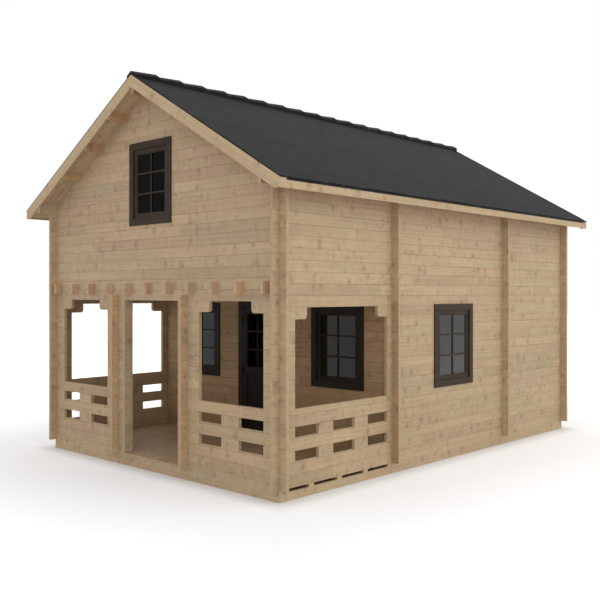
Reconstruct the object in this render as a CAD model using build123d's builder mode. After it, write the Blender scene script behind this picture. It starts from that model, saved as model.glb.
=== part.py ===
"""Log cabin with a covered front porch and a loft, in machined interlocking logs.

Millimetres, +Z up, the porch faces -Y and the origin lies under the middle of the roof.
"""
from build123d import *
import math
import os

# Logs
log_height = 135.0
log_thickness = 44.0
log_end = 107.0
joint_bevel = 4.0
tongue_height = 16.0
tongue_width = 20.0
slot_courses = (3, 5)

# Plan of the walls, from outer face to outer face
house_width = 4750.0
house_depth = 6890.0
porch_depth = 2053.0
room_depth = 2768.0

# Levels, counted in logs from the underside of the base frame
rail_logs = 7
header_logs = 16
eaves_height = 3634.0

# Base and floors
floor_thickness = 25.0
joist_pitch = 440.0
joist_width = 100.0
joist_height = 145.0
joist_seat = 82.5
joists_each_side = 5
loft_board = 20.0
bearer_width = 44.0
bearer_height = 95.0
bearer_pitch = 450.0
vent_height = 38.0
vent_width = 411.0
vent_pitch = 497.0
vent_start = 70.0
vent_count = 4

# Porch openings
doorway_half = 576.0
post_width = 414.0
corner_width = 255.0
stub_depth = 130.0
side_jamb = 95.0
side_corner = 250.0
corbel_reach = 197.0
corbel_radius = 45.0
front_slot = 413.0
side_slot = 398.0

# Windows and entrance door
casing_width = 90.0
casing_thickness = 18.0
casing_lap = 40.0
sash_width = 55.0
sash_thickness = 40.0
glass_thickness = 6.0
porch_window_width = 936.0
window_height = 1150.0
window_sill = 1022.0
porch_window_centre = 1447.0
side_window_width = 980.0
side_window_offset = 3503.0
gable_window_width = 896.0
gable_window_height = 1094.0
gable_window_sill = 3220.0
door_opening_half = 480.0
door_opening_top = 2150.0
door_lining = 34.0
door_threshold = 30.0
door_gap = 8.0
door_thickness = 44.0
door_stile = 90.0
door_glass_bottom = 1205.0
door_panel_inset = 12.0
handle_height = 1030.0
plate_width = 38.0
plate_height = 230.0
plate_thickness = 8.0
lever_width = 18.0
lever_reach = 45.0
lever_length = 120.0
lever_thickness = 12.0
hinge_radius = 9.0
hinge_length = 90.0
hinge_plate = 40.0
hinge_plate_thickness = 3.0
hinge_inset = 200.0
inner_door_half = 450.0
inner_door_top = 2115.0

# Roof
roof_pitch = 30.3
eave_overhang = 305.0
verge_overhang = 305.0
deck_thickness = 82.0
felt_thickness = 5.0
fascia_thickness = 20.0
fascia_depth = 112.0
verge_depth = 140.0
drip_depth = 24.0
drip_inset = 110.0
purlin_width = 70.0
purlin_drop = 108.0
purlin_first = 500.0
purlin_pitch = 575.0
purlin_count = 3
ridge_purlin_drop = 150.0
ridge_piece = 395.0
ridge_reach = 88.0
ridge_rise = 26.0
ridge_thickness = 42.0

# Loft
stub_length = 330.0
hatch_length = 1000.0
hatch_offset = 300.0
hatch_joist = 3

# Places worked out from the sizes above
half_w = house_width / 2
half_d = house_depth / 2
front_y = -half_d
rear_y = half_d
inner_x = half_w - log_thickness
end_x = half_w + log_end
entrance_y = front_y + porch_depth
partition_y = entrance_y + log_thickness + room_depth
half_log = log_height / 2
front_shift = half_log
side_shift = 0.0
floor_top = log_height + floor_thickness
rail_top = rail_logs * log_height + half_log
front_header = header_logs * log_height + half_log
side_header = header_logs * log_height
joist_bottom = front_header + joist_seat
joist_top = joist_bottom + joist_height
opening_x = half_w - corner_width
slope = math.tan(math.radians(roof_pitch))
roof_cos = math.cos(math.radians(roof_pitch))
deck_drop = deck_thickness / roof_cos
felt_drop = felt_thickness / roof_cos
deck_apex = eaves_height + half_w * slope
eave_x = half_w + eave_overhang
verge_y = half_d + verge_overhang
verge_back = verge_y - fascia_thickness
front_plane = Plane(origin=(0, front_y, 0), x_dir=(1, 0, 0), z_dir=(0, -1, 0))
entrance_plane = front_plane.offset(-porch_depth)
partition_plane = front_plane.offset(front_y - partition_y)
rear_plane = Plane(origin=(0, rear_y - log_thickness, 0), x_dir=(1, 0, 0), z_dir=(0, -1, 0))
right_plane = Plane(origin=(half_w, 0, 0), x_dir=(0, 1, 0), z_dir=(1, 0, 0))


def underside(x):
    """Height of the roof deck's underside at a distance from the ridge."""
    return deck_apex - abs(x) * slope


def courses(shift, bottom, top):
    """Joint heights strictly between two levels, for logs that start at a shift."""
    first = math.floor((bottom - shift) / log_height) + 1
    last = math.ceil((top - shift) / log_height)
    return [shift + n * log_height for n in range(first, last)]


def cross_blocks(shift, bottom, top):
    """Height spans where logs that start at a shift fill a crossing: the lower half of each.

    The upper half is notched away for the next log of the wall that crosses it.
    """
    spans = []
    for n in range(-1, math.ceil(top / log_height)):
        low = max(bottom, shift + n * log_height)
        high = min(top, shift + n * log_height + half_log)
        if high > low:
            spans.append((low, high))
    return spans


def span_box(u_low, u_high, v_low, v_high, mode=Mode.ADD):
    """Rectangle between two corners, on the sketch that is open."""
    with Locations(((u_low + u_high) / 2, (v_low + v_high) / 2)):
        Rectangle(u_high - u_low, v_high - v_low, mode=mode)


def notches(u_low, u_high, shift, bottom, top):
    """Notches that the crossing wall's logs pass through, on the sketch that is open."""
    for low, high in cross_blocks(shift, bottom, top):
        span_box(u_low, u_high, low, high, mode=Mode.SUBTRACT)


def bevels(end_plane, face, length, heights, inward=1):
    """V joints along one face of a wall, cut from a plane across its end."""
    with BuildSketch(end_plane) as joints:
        for z in heights:
            with BuildLine():
                Polyline(
                    (face - inward, z - joint_bevel - 1),
                    (face + inward * joint_bevel, z),
                    (face - inward, z + joint_bevel + 1),
                    close=True,
                )
            make_face()
    extrude(joints.sketch, amount=length, mode=Mode.SUBTRACT)


def front_bevels(face_y, heights, inward=1):
    """V joints of a wall that runs across the house."""
    end_plane = Plane(origin=(-end_x - 1, 0, 0), x_dir=(0, 1, 0), z_dir=(1, 0, 0))
    bevels(end_plane, face_y, 2 * end_x + 2, heights, inward)


def side_bevels(heights):
    """V joints on the outer face of the right wall, which runs along the house."""
    end_plane = Plane(origin=(0, verge_y, 0), x_dir=(1, 0, 0), z_dir=(0, -1, 0))
    bevels(end_plane, half_w, 2 * verge_y, heights, -1)


os.makedirs("parts", exist_ok=True)

# Base frame course, flush with the walls, with vents under the porch sides
with BuildPart() as base_end_beams:
    with BuildSketch(front_plane):
        span_box(-half_w, half_w, 0, log_height)
    extrude(amount=-log_thickness)
    mirror(about=Plane.XZ)
base_end_beams.part.label = "base_end_beams"
export_step(base_end_beams.part, "parts/base_end_beams.step")

with BuildPart() as base_side_beams:
    with BuildSketch(right_plane):
        span_box(front_y + log_thickness, rear_y - log_thickness, 0, log_height)
        for n in range(vent_count):
            vent_y = front_y + vent_start + n * vent_pitch
            span_box(vent_y, vent_y + vent_width, log_height - vent_height, log_height, Mode.SUBTRACT)
    extrude(amount=-log_thickness)
    mirror(about=Plane.YZ)
base_side_beams.part.label = "base_side_beams"
export_step(base_side_beams.part, "parts/base_side_beams.step")

# Beams under the cross walls and bearers under the floors
with BuildPart() as floor_bearers:
    with BuildSketch(Plane.YZ.offset(-inner_x)):
        for wall_y in (entrance_y, partition_y):
            span_box(wall_y, wall_y + log_thickness, 0, log_height)
        bays = (
            (front_y + log_thickness, entrance_y),
            (entrance_y + log_thickness, partition_y),
            (partition_y + log_thickness, rear_y - log_thickness),
        )
        for start, end in bays:
            count = round((end - start) / bearer_pitch)
            for n in range(1, count):
                bearer_y = start + (end - start) * n / count - bearer_width / 2
                span_box(bearer_y, bearer_y + bearer_width, log_height - bearer_height, log_height)
    extrude(amount=2 * inner_x)
floor_bearers.part.label = "floor_bearers"
export_step(floor_bearers.part, "parts/floor_bearers.step")

# Porch floor, which reaches the front face between the doorway posts
with BuildPart() as porch_floor:
    with BuildSketch(Plane.XY.offset(log_height)):
        span_box(-inner_x, inner_x, front_y + log_thickness, entrance_y)
        for side in (-1, 1):
            stub_u = side * (doorway_half + log_thickness / 2)
            stub_low = stub_u - log_thickness / 2
            stub_high = stub_u + log_thickness / 2
            span_box(stub_low, stub_high, front_y, front_y + stub_depth, Mode.SUBTRACT)
        span_box(-doorway_half, doorway_half, front_y, front_y + log_thickness)
    extrude(amount=floor_thickness)
porch_floor.part.label = "porch_floor"
export_step(porch_floor.part, "parts/porch_floor.step")

# Floors of the two rooms, run on through both doorways
with BuildPart() as cabin_floor:
    with BuildSketch(Plane.XY.offset(log_height)):
        span_box(-inner_x, inner_x, entrance_y + log_thickness, partition_y)
        span_box(-inner_x, inner_x, partition_y + log_thickness, rear_y - log_thickness)
        span_box(-door_opening_half, door_opening_half, entrance_y, entrance_y + log_thickness)
        span_box(-inner_door_half, inner_door_half, partition_y, partition_y + log_thickness)
    extrude(amount=floor_thickness)
cabin_floor.part.label = "cabin_floor"
export_step(cabin_floor.part, "parts/cabin_floor.step")

# Front rails beside the doorway, with two rows of slots between interrupted logs
with BuildPart() as front_rails:
    with BuildSketch(front_plane):
        span_box(doorway_half + log_thickness, end_x, log_height, rail_top)
        notches(inner_x, half_w, side_shift, log_height, rail_top)
        for course in slot_courses:
            slot_low = front_shift + course * log_height
            inner_slot = doorway_half + post_width
            for slot_x in (inner_slot, opening_x - front_slot):
                span_box(slot_x, slot_x + front_slot, slot_low, slot_low + log_height, Mode.SUBTRACT)
    extrude(amount=-log_thickness)
    front_bevels(front_y, courses(front_shift, log_height, rail_top))
    with BuildSketch(front_plane.offset(-(log_thickness - tongue_width) / 2)):
        for course in slot_courses:
            slot_low = front_shift + course * log_height
            for slot_x in (doorway_half + post_width, opening_x - front_slot):
                span_box(slot_x, slot_x + front_slot, slot_low, slot_low + tongue_height)
    extrude(amount=-tongue_width)
    mirror(about=Plane.YZ)
front_rails.part.label = "front_rails"
export_step(front_rails.part, "parts/front_rails.step")

# Corner piers and doorway posts of the front wall, above the rail
corbel_bottom = front_header - log_height
with BuildPart() as front_piers:
    with BuildSketch(front_plane):
        span_box(opening_x, end_x, rail_top, corbel_bottom)
        notches(inner_x, half_w, side_shift, rail_top, corbel_bottom)
        span_box(doorway_half + log_thickness, doorway_half + post_width, rail_top, corbel_bottom)
    extrude(amount=-log_thickness)
    front_bevels(front_y, courses(front_shift, rail_top, corbel_bottom))
    mirror(about=Plane.YZ)
front_piers.part.label = "front_piers"
export_step(front_piers.part, "parts/front_piers.step")

# Cross stubs that stiffen the doorway, from the base to the header
with BuildPart() as doorway_stubs:
    with BuildSketch(Plane.YZ.offset(doorway_half)):
        span_box(front_y, front_y + stub_depth, log_height, front_header)
    extrude(amount=log_thickness)
    mirror(about=Plane.YZ)
doorway_stubs.part.label = "doorway_stubs"
export_step(doorway_stubs.part, "parts/doorway_stubs.step")

# Corbel logs that narrow the front openings under the header
with BuildPart() as front_corbels:
    with BuildSketch(front_plane):
        span_box(opening_x - corbel_reach, end_x, corbel_bottom, front_header)
        notches(inner_x, half_w, side_shift, corbel_bottom, front_header)
        post_end = doorway_half + post_width
        span_box(doorway_half + log_thickness, post_end + corbel_reach, corbel_bottom, front_header)
        noses = vertices().group_by(Axis.Y)[0].sort_by(Axis.X)[1:3]
        fillet(noses, corbel_radius)
    extrude(amount=-log_thickness)
    mirror(about=Plane.YZ)
front_corbels.part.label = "front_corbels"
export_step(front_corbels.part, "parts/front_corbels.step")


def gable_outline():
    """Header and gable of an end wall, on the sketch that is open."""
    with BuildLine() as outline:
        Polyline(
            (-end_x, front_header),
            (end_x, front_header),
            (end_x, underside(end_x)),
            (0, deck_apex),
            (-end_x, underside(end_x)),
            close=True,
        )
    make_face(outline.edges())
    for low in (-half_w, inner_x):
        notches(low, low + log_thickness, side_shift, front_header, eaves_height)
    for n in range(-joists_each_side, joists_each_side + 1):
        joist_low = n * joist_pitch - joist_width / 2
        span_box(joist_low, joist_low + joist_width, joist_bottom, joist_top, Mode.SUBTRACT)
    half_window = gable_window_width / 2 - casing_lap
    window_low = gable_window_sill + casing_lap
    window_high = gable_window_sill + gable_window_height - casing_lap
    span_box(-half_window, half_window, window_low, window_high, Mode.SUBTRACT)
    purlin_faces = [purlin_first + n * purlin_pitch for n in range(purlin_count)]
    for face in purlin_faces:
        low = underside(face) - purlin_drop
        span_box(face, face + purlin_width, low, deck_apex, Mode.SUBTRACT)
        span_box(-face - purlin_width, -face, low, deck_apex, Mode.SUBTRACT)
    ridge_low = deck_apex - ridge_purlin_drop
    span_box(-purlin_width / 2, purlin_width / 2, ridge_low, deck_apex, Mode.SUBTRACT)


with BuildPart() as front_gable:
    with BuildSketch(front_plane):
        gable_outline()
    extrude(amount=-log_thickness)
    front_bevels(front_y, courses(front_shift, front_header, deck_apex - log_height))
front_gable.part.label = "front_gable"
export_step(front_gable.part, "parts/front_gable.step")

with BuildPart() as rear_gable:
    with BuildSketch(rear_plane):
        gable_outline()
    extrude(amount=-log_thickness)
    front_bevels(rear_y, courses(front_shift, front_header, deck_apex - log_height), -1)
rear_gable.part.label = "rear_gable"
export_step(rear_gable.part, "parts/rear_gable.step")

# Rear wall up to the joists, with one window
with BuildPart() as rear_wall:
    with BuildSketch(rear_plane):
        span_box(-end_x, end_x, log_height, front_header)
        for low in (-half_w, inner_x):
            notches(low, low + log_thickness, side_shift, log_height, front_header)
        half_window = side_window_width / 2 - casing_lap
        window_low = window_sill + casing_lap
        window_high = window_sill + window_height - casing_lap
        span_box(-half_window, half_window, window_low, window_high, Mode.SUBTRACT)
    extrude(amount=-log_thickness)
    front_bevels(rear_y, courses(front_shift, log_height, front_header), -1)
rear_wall.part.label = "rear_wall"
export_step(rear_wall.part, "parts/rear_wall.step")

# Side rails of the porch, with three slots in each of two rows
side_opening_end = front_y + porch_depth - side_jamb
side_opening_start = front_y + side_corner
side_slot_pitch = (side_opening_end - side_opening_start - side_slot) / 2
with BuildPart() as side_rails:
    with BuildSketch(right_plane):
        span_box(front_y - log_end, side_opening_end, log_height, rail_top)
        notches(front_y, front_y + log_thickness, front_shift, log_height, rail_top)
        for course in slot_courses:
            for n in range(3):
                slot_y = side_opening_start + n * side_slot_pitch
                slot_low = course * log_height
                span_box(slot_y, slot_y + side_slot, slot_low, slot_low + log_height, Mode.SUBTRACT)
    extrude(amount=-log_thickness)
    side_bevels(courses(side_shift, log_height, rail_top))
    with BuildSketch(right_plane.offset(-(log_thickness - tongue_width) / 2)):
        for course in slot_courses:
            for n in range(3):
                slot_y = side_opening_start + n * side_slot_pitch
                slot_low = course * log_height
                span_box(slot_y, slot_y + side_slot, slot_low, slot_low + tongue_height)
    extrude(amount=-tongue_width)
    mirror(about=Plane.YZ)
side_rails.part.label = "side_rails"
export_step(side_rails.part, "parts/side_rails.step")

# Corner piers of the side walls, above the rail
side_corbel_bottom = side_header - log_height
with BuildPart() as side_corner_piers:
    with BuildSketch(right_plane):
        span_box(front_y - log_end, side_opening_start, rail_top, side_corbel_bottom)
        notches(front_y, front_y + log_thickness, front_shift, rail_top, side_corbel_bottom)
    extrude(amount=-log_thickness)
    side_bevels(courses(side_shift, rail_top, side_corbel_bottom))
    mirror(about=Plane.YZ)
side_corner_piers.part.label = "side_corner_piers"
export_step(side_corner_piers.part, "parts/side_corner_piers.step")

# Corbel logs of the side openings, the rear one running on over the side window
with BuildPart() as side_corbels:
    with BuildSketch(right_plane):
        front_nose = side_opening_start + corbel_reach
        rear_nose = side_opening_end - corbel_reach
        span_box(front_y - log_end, front_nose, side_corbel_bottom, side_header)
        notches(front_y, front_y + log_thickness, front_shift, side_corbel_bottom, side_header)
        span_box(rear_nose, rear_y + log_end, side_corbel_bottom, side_header)
        for wall_y in (entrance_y, partition_y, rear_y - log_thickness):
            notches(wall_y, wall_y + log_thickness, front_shift, side_corbel_bottom, side_header)
        window_low = front_y + side_window_offset - side_window_width / 2 + casing_lap
        window_high = window_low + side_window_width - 2 * casing_lap
        window_top = window_sill + window_height - casing_lap
        span_box(window_low, window_high, side_corbel_bottom, window_top, Mode.SUBTRACT)
        noses = vertices().group_by(Axis.Y)[0].filter_by_position(Axis.X, front_nose - 1, rear_nose + 1)
        fillet(noses, corbel_radius)
    extrude(amount=-log_thickness)
    mirror(about=Plane.YZ)
side_corbels.part.label = "side_corbels"
export_step(side_corbels.part, "parts/side_corbels.step")


# Side walls of the rooms, up to the corbel log, in two lengths that meet at the partition
with BuildPart() as side_walls:
    with BuildSketch(right_plane):
        span_box(side_opening_end, partition_y, log_height, side_corbel_bottom)
        span_box(partition_y + log_thickness, rear_y + log_end, log_height, side_corbel_bottom)
        for wall_y in (entrance_y, rear_y - log_thickness):
            notches(wall_y, wall_y + log_thickness, front_shift, log_height, side_corbel_bottom)
        span_box(window_low, window_high, window_sill + casing_lap, side_corbel_bottom, Mode.SUBTRACT)
    extrude(amount=-log_thickness)
    side_bevels(courses(side_shift, log_height, side_corbel_bottom))
    mirror(about=Plane.YZ)
side_walls.part.label = "side_walls"
export_step(side_walls.part, "parts/side_walls.step")

# Side walls of the loft, up to the wall plates
plate_bottom = math.floor(eaves_height / log_height) * log_height
with BuildPart() as loft_side_walls:
    with BuildSketch(right_plane):
        span_box(front_y - log_end, rear_y + log_end, side_header, plate_bottom)
        for wall_y in (front_y, rear_y - log_thickness):
            notches(wall_y, wall_y + log_thickness, front_shift, side_header, plate_bottom)
        for wall_y in (entrance_y, partition_y):
            notches(wall_y, wall_y + log_thickness, front_shift, side_header, joist_top)
            span_box(wall_y, wall_y + log_thickness, joist_top, plate_bottom, Mode.SUBTRACT)
    extrude(amount=-log_thickness)
    side_bevels(courses(side_shift, side_header, plate_bottom))
    mirror(about=Plane.YZ)
loft_side_walls.part.label = "loft_side_walls"
export_step(loft_side_walls.part, "parts/loft_side_walls.step")

# Wall plates: the top logs, run out to the verge boards and bevelled under the deck
with BuildPart() as wall_plates:
    with BuildSketch(right_plane):
        span_box(-verge_back, verge_back, plate_bottom, underside(inner_x))
        for wall_y in (front_y, entrance_y, partition_y, rear_y - log_thickness):
            notch_low = plate_bottom + half_log
            span_box(wall_y, wall_y + log_thickness, notch_low, underside(inner_x), Mode.SUBTRACT)
    extrude(amount=-log_thickness)
    with BuildSketch(Plane.XZ.offset(verge_y)):
        with BuildLine():
            Polyline(
                (inner_x - log_end, underside(inner_x - log_end)),
                (end_x, underside(end_x)),
                (end_x, deck_apex),
                (inner_x - log_end, deck_apex),
                close=True,
            )
        make_face()
    extrude(amount=-2 * verge_y, mode=Mode.SUBTRACT)
    mirror(about=Plane.YZ)
wall_plates.part.label = "wall_plates"
export_step(wall_plates.part, "parts/wall_plates.step")

# Entrance wall behind the porch: a panel each side of the door and a header over it
with BuildPart() as entrance_wall_panels:
    with BuildSketch(entrance_plane):
        span_box(door_opening_half, end_x, log_height, front_header)
        notches(inner_x, half_w, side_shift, log_height, front_header)
        with Locations((porch_window_centre, window_sill + window_height / 2)):
            Rectangle(
                porch_window_width - 2 * casing_lap,
                window_height - 2 * casing_lap,
                mode=Mode.SUBTRACT,
            )
    extrude(amount=-log_thickness)
    front_bevels(entrance_y, courses(front_shift, log_height, front_header))
    mirror(about=Plane.YZ)
entrance_wall_panels.part.label = "entrance_wall_panels"
export_step(entrance_wall_panels.part, "parts/entrance_wall_panels.step")

# Partition between the rooms, with an open doorway, tied in by the corbel log over it
with BuildPart() as partition_panels:
    with BuildSketch(partition_plane):
        span_box(inner_door_half, end_x, log_height, front_header)
        notches(inner_x, half_w, side_shift, side_corbel_bottom, front_header)
    extrude(amount=-log_thickness)
    mirror(about=Plane.YZ)
partition_panels.part.label = "partition_panels"
export_step(partition_panels.part, "parts/partition_panels.step")

# Headers over the two doorways
with BuildPart() as door_headers:
    with BuildSketch(entrance_plane):
        span_box(-door_opening_half, door_opening_half, door_opening_top, front_header)
    extrude(amount=-log_thickness)
    with BuildSketch(partition_plane):
        span_box(-inner_door_half, inner_door_half, inner_door_top, front_header)
    extrude(amount=-log_thickness)
door_headers.part.label = "door_headers"
export_step(door_headers.part, "parts/door_headers.step")

# Log over each cross wall, notched for the loft joists
with BuildPart() as joist_plates:
    with BuildSketch(entrance_plane):
        span_box(-end_x, end_x, front_header, joist_top)
        for low in (-half_w, inner_x):
            notches(low, low + log_thickness, side_shift, front_header, joist_top)
        for n in range(-joists_each_side, joists_each_side + 1):
            joist_low = n * joist_pitch - joist_width / 2
            span_box(joist_low, joist_low + joist_width, joist_bottom, joist_top, Mode.SUBTRACT)
    extrude(amount=-log_thickness)
    mirror(about=Plane.XZ.offset(-(entrance_y + partition_y + log_thickness) / 2))
joist_plates.part.label = "joist_plates"
export_step(joist_plates.part, "parts/joist_plates.step")

# Short cross walls that stiffen the loft's side walls, tied in by the wall plates
with BuildPart() as loft_stubs:
    with BuildSketch(entrance_plane):
        with BuildLine():
            Polyline(
                (inner_x - stub_length, joist_top),
                (end_x, joist_top),
                (end_x, underside(end_x)),
                (inner_x - stub_length, underside(inner_x - stub_length)),
                close=True,
            )
        make_face()
        notches(inner_x, half_w, side_shift, plate_bottom, eaves_height)
    extrude(amount=-log_thickness)
    mirror(about=Plane.YZ)
    mirror(about=Plane.XZ.offset(-(entrance_y + partition_y + log_thickness) / 2))
loft_stubs.part.label = "loft_stubs"
export_step(loft_stubs.part, "parts/loft_stubs.step")

# Loft joists, from face to face of the end walls, one cut short for the hatch
hatch_y = partition_y - hatch_offset - hatch_length
hatch_x = joist_pitch * hatch_joist
with BuildPart() as loft_joists:
    with BuildSketch(front_plane):
        for n in range(-joists_each_side, joists_each_side + 1):
            joist_low = n * joist_pitch - joist_width / 2
            span_box(joist_low, joist_low + joist_width, joist_bottom, joist_top)
    extrude(amount=-house_depth)
    with BuildSketch(Plane.XY.offset(joist_bottom)):
        cut_x = hatch_x - joist_width / 2
        span_box(cut_x, cut_x + joist_width, hatch_y, hatch_y + hatch_length)
    extrude(amount=joist_height, mode=Mode.SUBTRACT)
loft_joists.part.label = "loft_joists"
export_step(loft_joists.part, "parts/loft_joists.step")

# Trimmers that carry the cut joist at the hatch
with BuildPart() as hatch_trimmers:
    with BuildSketch(Plane.XY.offset(joist_bottom)):
        trim_low = hatch_x - joist_pitch + joist_width / 2
        trim_high = hatch_x + joist_pitch - joist_width / 2
        for trim_y in (hatch_y, hatch_y + hatch_length - log_thickness):
            span_box(trim_low, trim_high, trim_y, trim_y + log_thickness)
    extrude(amount=joist_height)
hatch_trimmers.part.label = "hatch_trimmers"
export_step(hatch_trimmers.part, "parts/hatch_trimmers.step")

# Loft floor, in strips around the hatch
with BuildPart() as loft_floor:
    with BuildSketch(Plane.XY.offset(joist_top)):
        span_box(-inner_x, inner_x, front_y + log_thickness, rear_y - log_thickness)
        for wall_y in (entrance_y, partition_y):
            for low in (-inner_x, inner_x - stub_length):
                span_box(low, low + stub_length, wall_y, wall_y + log_thickness, Mode.SUBTRACT)
        hatch_start = hatch_y + log_thickness
        hatch_end = hatch_y + hatch_length - log_thickness
        span_box(trim_low, trim_high, hatch_start, hatch_end, Mode.SUBTRACT)
    extrude(amount=loft_board)
loft_floor.part.label = "loft_floor"
export_step(loft_floor.part, "parts/loft_floor.step")

# Purlins let into both gables, with their tops bevelled under the deck
with BuildPart() as purlins:
    with BuildSketch(Plane.XZ.offset(verge_back)):
        for n in range(purlin_count):
            face = purlin_first + n * purlin_pitch
            low = underside(face) - purlin_drop
            with BuildLine():
                Polyline(
                    (face, low),
                    (face + purlin_width, low),
                    (face + purlin_width, underside(face + purlin_width)),
                    (face, underside(face)),
                    close=True,
                )
            make_face()
    extrude(amount=-2 * verge_back)
    mirror(about=Plane.YZ)
    with BuildSketch(Plane.XZ.offset(verge_back)):
        with BuildLine():
            Polyline(
                (-purlin_width / 2, deck_apex - ridge_purlin_drop),
                (purlin_width / 2, deck_apex - ridge_purlin_drop),
                (purlin_width / 2, underside(purlin_width / 2)),
                (0, deck_apex),
                (-purlin_width / 2, underside(purlin_width / 2)),
                close=True,
            )
        make_face()
    extrude(amount=-2 * verge_back)
purlins.part.label = "purlins"
export_step(purlins.part, "parts/purlins.step")

# Roof decks, left and right
deck_end = eave_x - fascia_thickness
for side, name in ((-1, "roof_deck_left"), (1, "roof_deck_right")):
    with BuildPart() as roof_deck:
        with BuildSketch(Plane.XZ.offset(verge_back)):
            with BuildLine():
                Polyline(
                    (0, deck_apex),
                    (side * deck_end, underside(deck_end)),
                    (side * deck_end, underside(deck_end) + deck_drop),
                    (0, deck_apex + deck_drop),
                    close=True,
                )
            make_face()
        extrude(amount=-2 * verge_back)
    roof_deck.part.label = name
    export_step(roof_deck.part, f"parts/{name}.step")

# Roofing felt over each deck, folded down over the fascia short of the verges
felt_edge = eave_x + felt_thickness
felt_low = underside(eave_x) + deck_drop
for side, name in ((-1, "roof_felt_left"), (1, "roof_felt_right")):
    with BuildPart() as roof_felt:
        with BuildSketch(Plane.XZ.offset(verge_y)):
            with BuildLine():
                Polyline(
                    (0, deck_apex + deck_drop),
                    (side * felt_edge, underside(felt_edge) + deck_drop),
                    (side * felt_edge, underside(felt_edge) + deck_drop + felt_drop),
                    (0, deck_apex + deck_drop + felt_drop),
                    close=True,
                )
            make_face()
        extrude(amount=-2 * verge_y)
        with BuildSketch(Plane.XZ.offset(verge_y - drip_inset)):
            with BuildLine():
                Polyline(
                    (side * eave_x, felt_low),
                    (side * eave_x, felt_low - drip_depth),
                    (side * felt_edge, felt_low - drip_depth),
                    (side * felt_edge, underside(felt_edge) + deck_drop),
                    close=True,
                )
            make_face()
        extrude(amount=-2 * (verge_y - drip_inset))
    roof_felt.part.label = name
    export_step(roof_felt.part, f"parts/{name}.step")

# Fascia boards along the eaves, between the verge boards
fascia_bottom = underside(eave_x) + deck_drop - fascia_depth
with BuildPart() as eave_fascias:
    with BuildSketch(Plane.XZ.offset(verge_back)):
        with BuildLine():
            Polyline(
                (deck_end, fascia_bottom),
                (eave_x, fascia_bottom),
                (eave_x, underside(eave_x) + deck_drop),
                (deck_end, underside(deck_end) + deck_drop),
                close=True,
            )
        make_face()
    extrude(amount=-2 * verge_back)
    mirror(about=Plane.YZ)
eave_fascias.part.label = "eave_fascias"
export_step(eave_fascias.part, "parts/eave_fascias.step")

# Verge boards at both gables, mitred at the ridge and cut level at the eaves
verge_drop = verge_depth / roof_cos
level_x = (deck_apex + deck_drop - verge_drop - fascia_bottom) / slope
for side, name in ((-1, "verge_boards_left"), (1, "verge_boards_right")):
    with BuildPart() as verge_boards:
        with BuildSketch(Plane.XZ.offset(verge_y)):
            with BuildLine():
                Polyline(
                    (0, deck_apex + deck_drop),
                    (0, deck_apex + deck_drop - verge_drop),
                    (side * level_x, fascia_bottom),
                    (side * eave_x, fascia_bottom),
                    (side * eave_x, underside(eave_x) + deck_drop),
                    close=True,
                )
            make_face()
        extrude(amount=-fascia_thickness)
        mirror(about=Plane.XZ)
    verge_boards.part.label = name
    export_step(verge_boards.part, f"parts/{name}.step")

# Ridge capping of overlapping pieces, each lifted at the end that laps the next
roof_top = deck_apex + deck_drop + felt_drop
ridge_count = round(2 * verge_y / ridge_piece)
ridge_step = 2 * verge_y / ridge_count


def ridge_section(plane_y, lift):
    """Section across the capping at one end of a piece, raised by a lift."""
    top = roof_top + ridge_thickness + lift
    drop = ridge_reach * slope
    with BuildSketch(Plane.XZ.offset(-plane_y)) as section:
        with BuildLine():
            Polyline(
                (0, roof_top),
                (ridge_reach, roof_top - drop),
                (ridge_reach, top - drop),
                (0, top),
                (-ridge_reach, top - drop),
                (-ridge_reach, roof_top - drop),
                close=True,
            )
        make_face()
    return section.sketch


with BuildPart() as ridge_caps:
    for n in range(ridge_count):
        start = -verge_y + n * ridge_step
        loft([ridge_section(start, 0), ridge_section(start + ridge_step, ridge_rise)], ruled=True)
ridge_caps.part.label = "ridge_caps"
export_step(ridge_caps.part, "parts/ridge_caps.step")


def ring(face, width, height, margin, depth):
    """Rectangular ring of a given margin, extruded from a plane onto the open part."""
    with BuildSketch(face) as outline:
        Rectangle(width, height)
        Rectangle(width - 2 * margin, height - 2 * margin, mode=Mode.SUBTRACT)
    extrude(outline.sketch, amount=depth)


def add_window(face, width, height):
    """Casings on both faces of a wall, joined by the frame through it, on the open part.

    The plane's Z points out of the wall, and its origin lies mid-window on the outer face.
    """
    ring(face, width, height, casing_width, casing_thickness)
    ring(face.offset(-log_thickness), width, height, casing_width, -casing_thickness)
    frame_width = width - 2 * casing_lap
    frame_height = height - 2 * casing_lap
    ring(face, frame_width, frame_height, casing_width - casing_lap, -log_thickness)


def add_sash(face, width, height):
    """Sash inside a window's frame, on the open part."""
    outer = face.offset(-(log_thickness - sash_thickness) / 2)
    ring(outer, width - 2 * casing_width, height - 2 * casing_width, sash_width, -sash_thickness)


def add_pane(face, width, height):
    """Glass inside a window's sash, on the open part."""
    margin = casing_width + sash_width
    with BuildSketch(face.offset(-(log_thickness - glass_thickness) / 2)) as pane:
        Rectangle(width - 2 * margin, height - 2 * margin)
    extrude(pane.sketch, amount=-glass_thickness)


def wall_face(x, y, sill, height, facing):
    """Plane on a wall's outer face at a window's middle, facing out of the wall."""
    across = (-facing[1], facing[0], 0)
    return Plane(origin=(x, y, sill + height / 2), x_dir=across, z_dir=(facing[0], facing[1], 0))


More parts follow.
